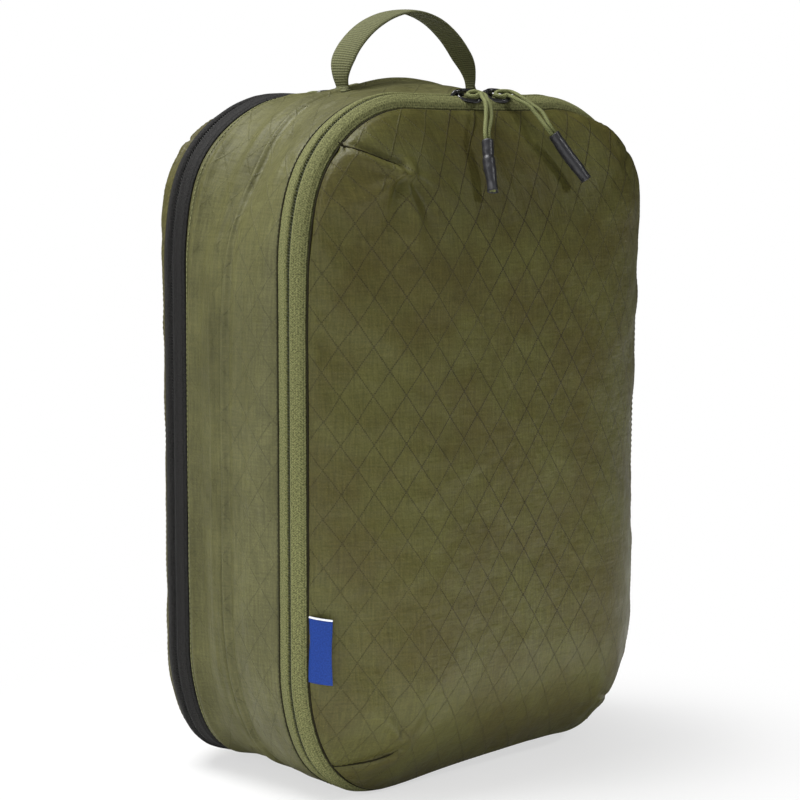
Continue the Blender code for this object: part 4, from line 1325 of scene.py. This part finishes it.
# ---------------------------------------------------------------- floor, light, camera
me = bpy.data.meshes.new("floor")
me.from_pydata([(-6, -6, -0.0004), (6, -6, -0.0004), (6, 6, -0.0004), (-6, 6, -0.0004)], [], [(0, 1, 2, 3)])
floor = bpy.data.objects.new("floor", me)
SCENE.objects.link(floor)
g = Nodes("pale_floor")
x, y, z = g.xyz()
far = g.m("SQRT", g.m("ADD", g.m("MULTIPLY", x, x), g.m("MULTIPLY", y, y)))
path = g.t.nodes.new("ShaderNodeLightPath")
away = g.m("MULTIPLY", g.ramp(far, 0.08, 0.30, 0.62, 1.0), path.outputs["Is Camera Ray"])
g.out(g.mix(g.noise(g.vec(x, y, z), 3.0, 2.0), (0.90, 0.90, 0.90), (0.93, 0.93, 0.93)), 0.9, spec=0.1)
glow = g.t.nodes.new("ShaderNodeEmission")
glow.inputs["Color"].default_value = (1, 1, 1, 1)
glow.inputs["Strength"].default_value = 1.0
blend = g.t.nodes.new("ShaderNodeMixShader")
g.t.links.new(away, blend.inputs[0])
g.t.links.new(g.b.outputs[0], blend.inputs[1])
g.t.links.new(glow.outputs[0], blend.inputs[2])
g.t.links.new(blend.outputs[0], g.t.nodes["Material Output"].inputs[0])
floor.data.materials.append(g.mat)

world = bpy.context.scene.world or bpy.data.worlds.new("World")
bpy.context.scene.world = world
world.use_nodes = True
wt = world.node_tree
bg = wt.nodes["Background"]
bg.inputs[0].default_value = (1, 1, 1, 1)
tc = wt.nodes.new("ShaderNodeTexCoord")
dt = wt.nodes.new("ShaderNodeVectorMath")
dt.operation = "DOT_PRODUCT"
wt.links.new(tc.outputs["Generated"], dt.inputs[0])
dt.inputs[1].default_value = (-0.78, -0.55, 0.30)
wr = wt.nodes.new("ShaderNodeMapRange")
wr.interpolation_type = "SMOOTHSTEP"
wt.links.new(dt.outputs["Value"], wr.inputs["Value"])
wr.inputs["From Min"].default_value, wr.inputs["From Max"].default_value = -0.40, 1.0
wr.inputs["To Min"].default_value, wr.inputs["To Max"].default_value = 0.03, 0.33
lp = wt.nodes.new("ShaderNodeLightPath")
mr = wt.nodes.new("ShaderNodeMapRange")
wt.links.new(lp.outputs["Is Camera Ray"], mr.inputs["Value"])
wt.links.new(wr.outputs[0], mr.inputs["To Min"])
mr.inputs["To Max"].default_value = 1.0
wt.links.new(mr.outputs[0], bg.inputs[1])


def area(name, loc, target, size, power, color=(1, 1, 1)):
    li = bpy.data.lights.new(name, "AREA")
    li.shape = "RECTANGLE"
    li.size, li.size_y = size
    li.energy = power
    li.color = color
    ob = bpy.data.objects.new(name, li)
    ob.location = loc
    ob.rotation_euler = (Vector(target) - Vector(loc)).to_track_quat("-Z", "Y").to_euler()
    SCENE.objects.link(ob)
    return ob


area("key", (0.62, -1.38, 1.18), (0, 0, 0.25), (0.17, 0.17), 7.0)
area("left_fill", (-1.9, 0.35, 0.60), (0, 0, 0.18), (1.0, 1.0), 10.5)
area("top", (-0.45, 0.40, 1.6), (0, 0, 0.3), (0.9, 0.9), 36.0)
area("left_front", (-1.25, -0.95, 0.25), (0, 0, 0.10), (0.7, 0.4), 2.6)
bounce = area("floor_bounce", (-0.05, -0.24, 0.001), (-0.05, -0.24, 1.0), (0.60, 0.24), 0.75)
bounce.visible_camera = False

cam_d = bpy.data.cameras.new("camera")
cam = bpy.data.objects.new("camera", cam_d)
SCENE.objects.link(cam)
cam_d.lens, cam_d.sensor_width = 108.0, 36.0
cam_d.clip_start, cam_d.clip_end = 0.05, 50
cam.location = (-0.88869, -0.96277, 0.33854)
cam.rotation_euler = Vector((0.67166301, 0.7328465, -0.10864992)).to_track_quat("-Z", "Y").to_euler()
bpy.context.scene.camera = cam
bpy.context.scene.view_settings.view_transform = "Standard"

bpy.context.view_layer.update()
